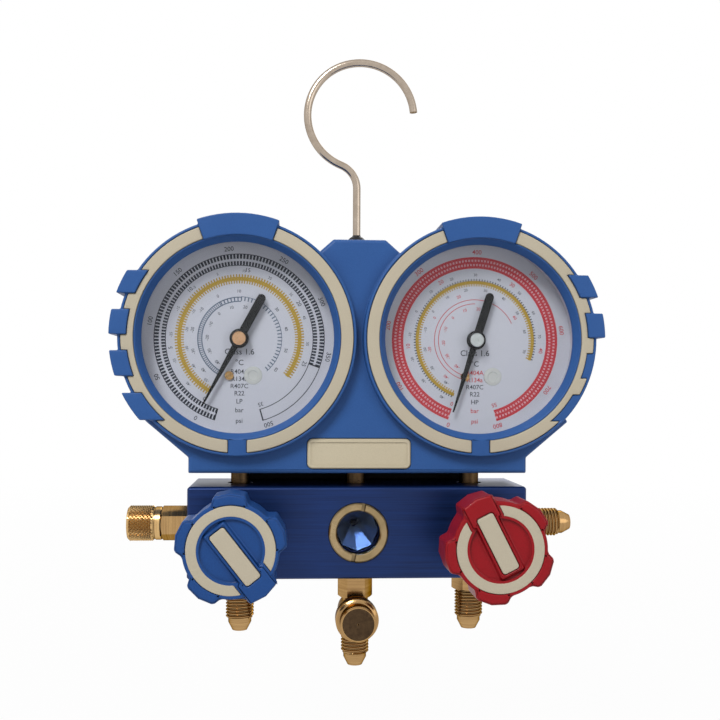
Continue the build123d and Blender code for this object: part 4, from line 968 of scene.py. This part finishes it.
bm = bmesh.new()
for inner, outer in ((28.3, 29.3), (30.1, 31.0), (31.8, 32.8)):
    band(bm, right_x, inner, outer, HIGH_FULL, HIGH_ZERO)
ticks(bm, right_x, 29.3, 30.1, HIGH_FULL, HIGH_ZERO, 2.3, 1.1)
ticks(bm, right_x, 31.0, 31.8, HIGH_FULL + 1.1, HIGH_ZERO - 1.1, 2.3, 1.1)
numbers(bm, right_x, 34.6, 252.5, -74.7, range(0, 801, 100), BIG)
numbers(bm, right_x, 26.4, 250.0, -73.0, (0, 10, 20, 30, 40, 55), MEDIUM)
rows(bm, right_x, ((12.8, "R404A"), (15.6, "R134a"), (27.7, "bar"), (31.8, "psi")), BIG)
for radius, first, last in ((14.3, 90, 251), (15.9, 90, 251), (15.9, 25, 90)):
    band(bm, right_x, radius, radius + 0.25, first, last)
numbers(bm, right_x, 12.4, 236.0, 84.0, range(-40, 21, 10), SMALL)
numbers(bm, right_x, 18.2, 232.0, 30.0, range(-40, 61, 20), SMALL)
printed("high_dial_red_ink", bm, ink_red)

bm = bmesh.new()
band(bm, right_x, 28.3, 32.8, HIGH_FULL, HIGH_ZERO, UNDERPRINT_LIFT)
printed("high_dial_pale_red_ink", bm, ink_pink)

# %% High-pressure dial, ochre and black
bm = bmesh.new()
band(bm, right_x, 22.2, 23.5, -19.4, 249)
ticks(bm, right_x, 21.3, 22.2, -19.4, 249, 2.6, 1.3)
printed("high_dial_ochre_ink", bm, ink_yellow)

bm = bmesh.new()
ticks(bm, right_x, 23.3, 24.2, -19.4, 249, 2.6, 0.9)
numbers(bm, right_x, 20.0, 236.0, -12.0, range(-40, 71, 10), FINE)
numbers(bm, right_x, 25.7, 240.0, 4.0, range(-40, 71, 10), FINE)
rows(bm, right_x, ((5.1, "Class 1.6"),), CLASS_SIZE)
rows(bm, right_x, ((9.3, "\u00b0C"),), UNIT_SIZE)
rows(bm, right_x, ((18.4, "R407C"), (21.2, "R22"), (24.3, "HP")), BIG)
printed("high_dial_black_ink", bm, ink_black)

# %% [markdown]
# ## Inside the gauges
#
# A pale liner stands between the dial and the lens and keeps them apart. It is the wall
# that is seen past the edge of the dial. The pointer is punched from thin sheet, so its
# edges are only just broken, and a small turned cap covers the end of its arbor. The lens
# has a fine raised rim in an opaque pale grey, which is a painted highlight for the glare
# along the lens edge. The caps' section starts and ends on the axis, so it isn't closed,
# and merging the doubles closes the poles.

# %% Liners, pointers, hub caps and lens rims
LINER = ((38.0, 11.1), (38.9, 11.1), (38.9, 16.2), (37.6, 16.2), (37.6, 15.6))
HUB_CAP = ((0.0, 15.35), (2.7, 15.35), (2.7, 15.55), (2.5, 15.75), (0.6, 15.75), (0.5, 15.62),
           (0.0, 15.62))
LENS_RIM = ((37.2, 18.4), (37.9, 18.4), (37.9, 18.7), (37.6, 18.9), (37.3, 18.7))
POLE_WELD = 0.001


def on_gauge(name, x, section, material, body, closed=True):
    """A part that is turned about the axis of the gauge at x."""
    bm = bmesh.new()
    turn(bm, section, closed)
    bmesh.ops.remove_doubles(bm, verts=bm.verts, dist=POLE_WELD)
    lay(bm, bm.verts, (x, 0, GAUGE_Z), "front")
    make(name, bm, material, body)


for (side, x), cap in zip(SIDES, (brass_clean, zinc_cap)):
    on_gauge(f"{side}_dial_liner", x, LINER, dial_white, "manifold")
    soften(f"{side}_gauge_pointer", 0.12, pointer_black, f"{side}_pointer")
    on_gauge(f"{side}_hub_cap", x, HUB_CAP, cap, f"{side}_pointer", False)
    on_gauge(f"{side}_rim_glare_grey", x, LENS_RIM, rim_glare_grey, "manifold")

# %% [markdown]
# ## The vent plugs
#
# A milky plug closes the vent of each lens. It has a dimple in its middle, where it was
# gated. Both plugs are one piece, as they are one node in the CAD model.

# %% Vent plugs
VENT_RIGHT, VENT_DROP = 5.6, 14.3

bm = bmesh.new()
for _, x in SIDES:
    old = set(bm.verts)
    turn(bm, [(0.0, 16.6), (3.1, 16.6), (3.1, 18.4), (3.4, 18.4), (3.3, 18.8), (2.9, 18.95),
              (2.0, 18.95), (1.7, 18.6), (0.0, 18.5)], False)
    lay(bm, newer(bm, old), (x + VENT_RIGHT, 0, GAUGE_Z - VENT_DROP), "front")
bmesh.ops.remove_doubles(bm, verts=bm.verts, dist=POLE_WELD)
make("vent_plugs", bm, plug_clear, "manifold", ("lens_plugs",))

# %% [markdown]
# ## Lamps
#
# The object is lit as for a catalogue: one large soft lamp above on the left, a weaker one
# on the right to open the shadows, and one behind that draws a light line on the top edges.

# %% Lamps
def lamp(name, where, aim, size, power):
    data = bpy.data.lights.new(name, "AREA")
    data.shape = "DISK"
    data.size = size
    data.energy = power
    held = stand(name, data)
    held.location = where
    held.rotation_euler = (Vector(aim) - Vector(where)).to_track_quat("-Z", "Y").to_euler()
    print(name, power, "W")


middle = (0, 0, -0.13)
lamp("key", (-0.5, -0.95, 0.88), middle, size=0.6, power=15.0)
lamp("fill", (0.9, -0.9, 0.1), middle, size=0.8, power=2.0)
lamp("back", (0.3, 1.0, 0.6), middle, size=0.8, power=4.0)

# %% [markdown]
# ## The surround
#
# The surround is a plain white. It is white to the camera, in reflections and through the
# clear parts, and dimmer where it only lights the object, so the lamps still shape it.

# %% Surround
DIMMED = 0.35


def shown(tree):
    """One for the rays that see a background straight, mirrored or through glass."""
    rays = add(tree, "LightPath").outputs
    seen = add(tree, "Math", {0: rays["Is Camera Ray"], 1: rays["Is Glossy Ray"]}, operation="MAXIMUM")
    return add(tree, "Math", {0: seen.outputs[0], 1: rays["Is Transmission Ray"]},
               operation="MAXIMUM").outputs[0]


world = bpy.data.worlds.new("plain surround")
bpy.context.scene.world = world
world.use_nodes = True
tree = world.node_tree
level = add(tree, "MapRange", {"Value": shown(tree), "To Min": DIMMED, "To Max": 1.0})
tree.links.new(level.outputs["Result"], tree.nodes["Background"].inputs["Strength"])
tree.nodes["Background"].inputs["Color"].default_value = (1.0, 1.0, 1.0, 1.0)
print("the surround lights at", DIMMED, "and shows at 1.0")

# %% [markdown]
# ## The floor
#
# The floor lies below the ports, because the gauge hangs from its hook. It is pale paper
# that glows white to the same rays. Under the object the glow leaves a
# small share to the lamps, which keeps the soft shadow.

# %% Floor
FLOOR_DROP = 100
SHARE_NEAR, NEAR_FLOOR, FAR_FLOOR = 0.965, 0.2, 1.5

paper = finish("pale_paper_floor", "c4c4c4", "bebebe", 0.8, EVEN, (0.7, 0.8), 0.01)
tree = paper.node_tree
glow = add(tree, "Emission", {"Strength": 1.0})
away = add(tree, "VectorMath", {0: add(tree, "TexCoord").outputs["Object"]}, operation="LENGTH")
white = add(tree, "MapRange", {"Value": away.outputs["Value"], "From Min": NEAR_FLOOR,
                               "From Max": FAR_FLOOR, "To Min": SHARE_NEAR})
share = add(tree, "Math", {0: shown(tree), 1: white.outputs["Result"]}, operation="MULTIPLY")
blend(paper, share.outputs[0], glow.outputs[0])

bm = bmesh.new()
bmesh.ops.create_grid(bm, x_segments=8, y_segments=8, size=15.0)
bmesh.ops.translate(bm, vec=(0, 0, (UNDER - FLOOR_DROP) * MM), verts=bm.verts)
floor = stand("floor", mesh_of("floor", bm, paper))
print("floor at", round(UNDER - FLOOR_DROP, 1), "mm")

# %% [markdown]
# ## The camera
#
# The camera stands in front, about 20 mm to the left of square on, and a little below the
# middle of the gauges. It is only 370 mm away, close enough that the handwheels look larger
# than the ports behind them. Its place comes from three angles and a distance to a point
# below and between the gauges. The focal length is counted in pixels of a frame of 720, and
# the shift moves the picture without turning the camera.

# %% Camera
TURN, TILT, ROLL = -0.05682, -0.00302, 0.00466
AIM = Vector((-4.557, -2.0, DECK + 37.75))
DISTANCE, FOCAL_PIXELS, FRAME, SENSOR = 370.41, 926.61, 720, 36

back = Vector((sin(TURN) * cos(TILT), -cos(TURN) * cos(TILT), sin(TILT)))
right = Vector((cos(TURN), sin(TURN), 0))
up = back.cross(right)
right, up = right * cos(ROLL) + up * sin(ROLL), up * cos(ROLL) - right * sin(ROLL)
lens = bpy.data.cameras.new("camera")
lens.sensor_width = SENSOR
lens.lens = SENSOR * FOCAL_PIXELS / FRAME
lens.shift_x, lens.shift_y = 0.02107, 0.03926
lens.clip_start = 0.01
camera = stand("camera", lens)
spot_on = (AIM + back * DISTANCE) * MM
camera.matrix_world = Matrix.Translation(spot_on) @ Matrix((right, up, back)).transposed().to_4x4()
bpy.context.scene.camera = camera
bpy.context.scene.view_settings.view_transform = "Standard"
print("camera at", [round(c / MM) for c in spot_on], "mm")
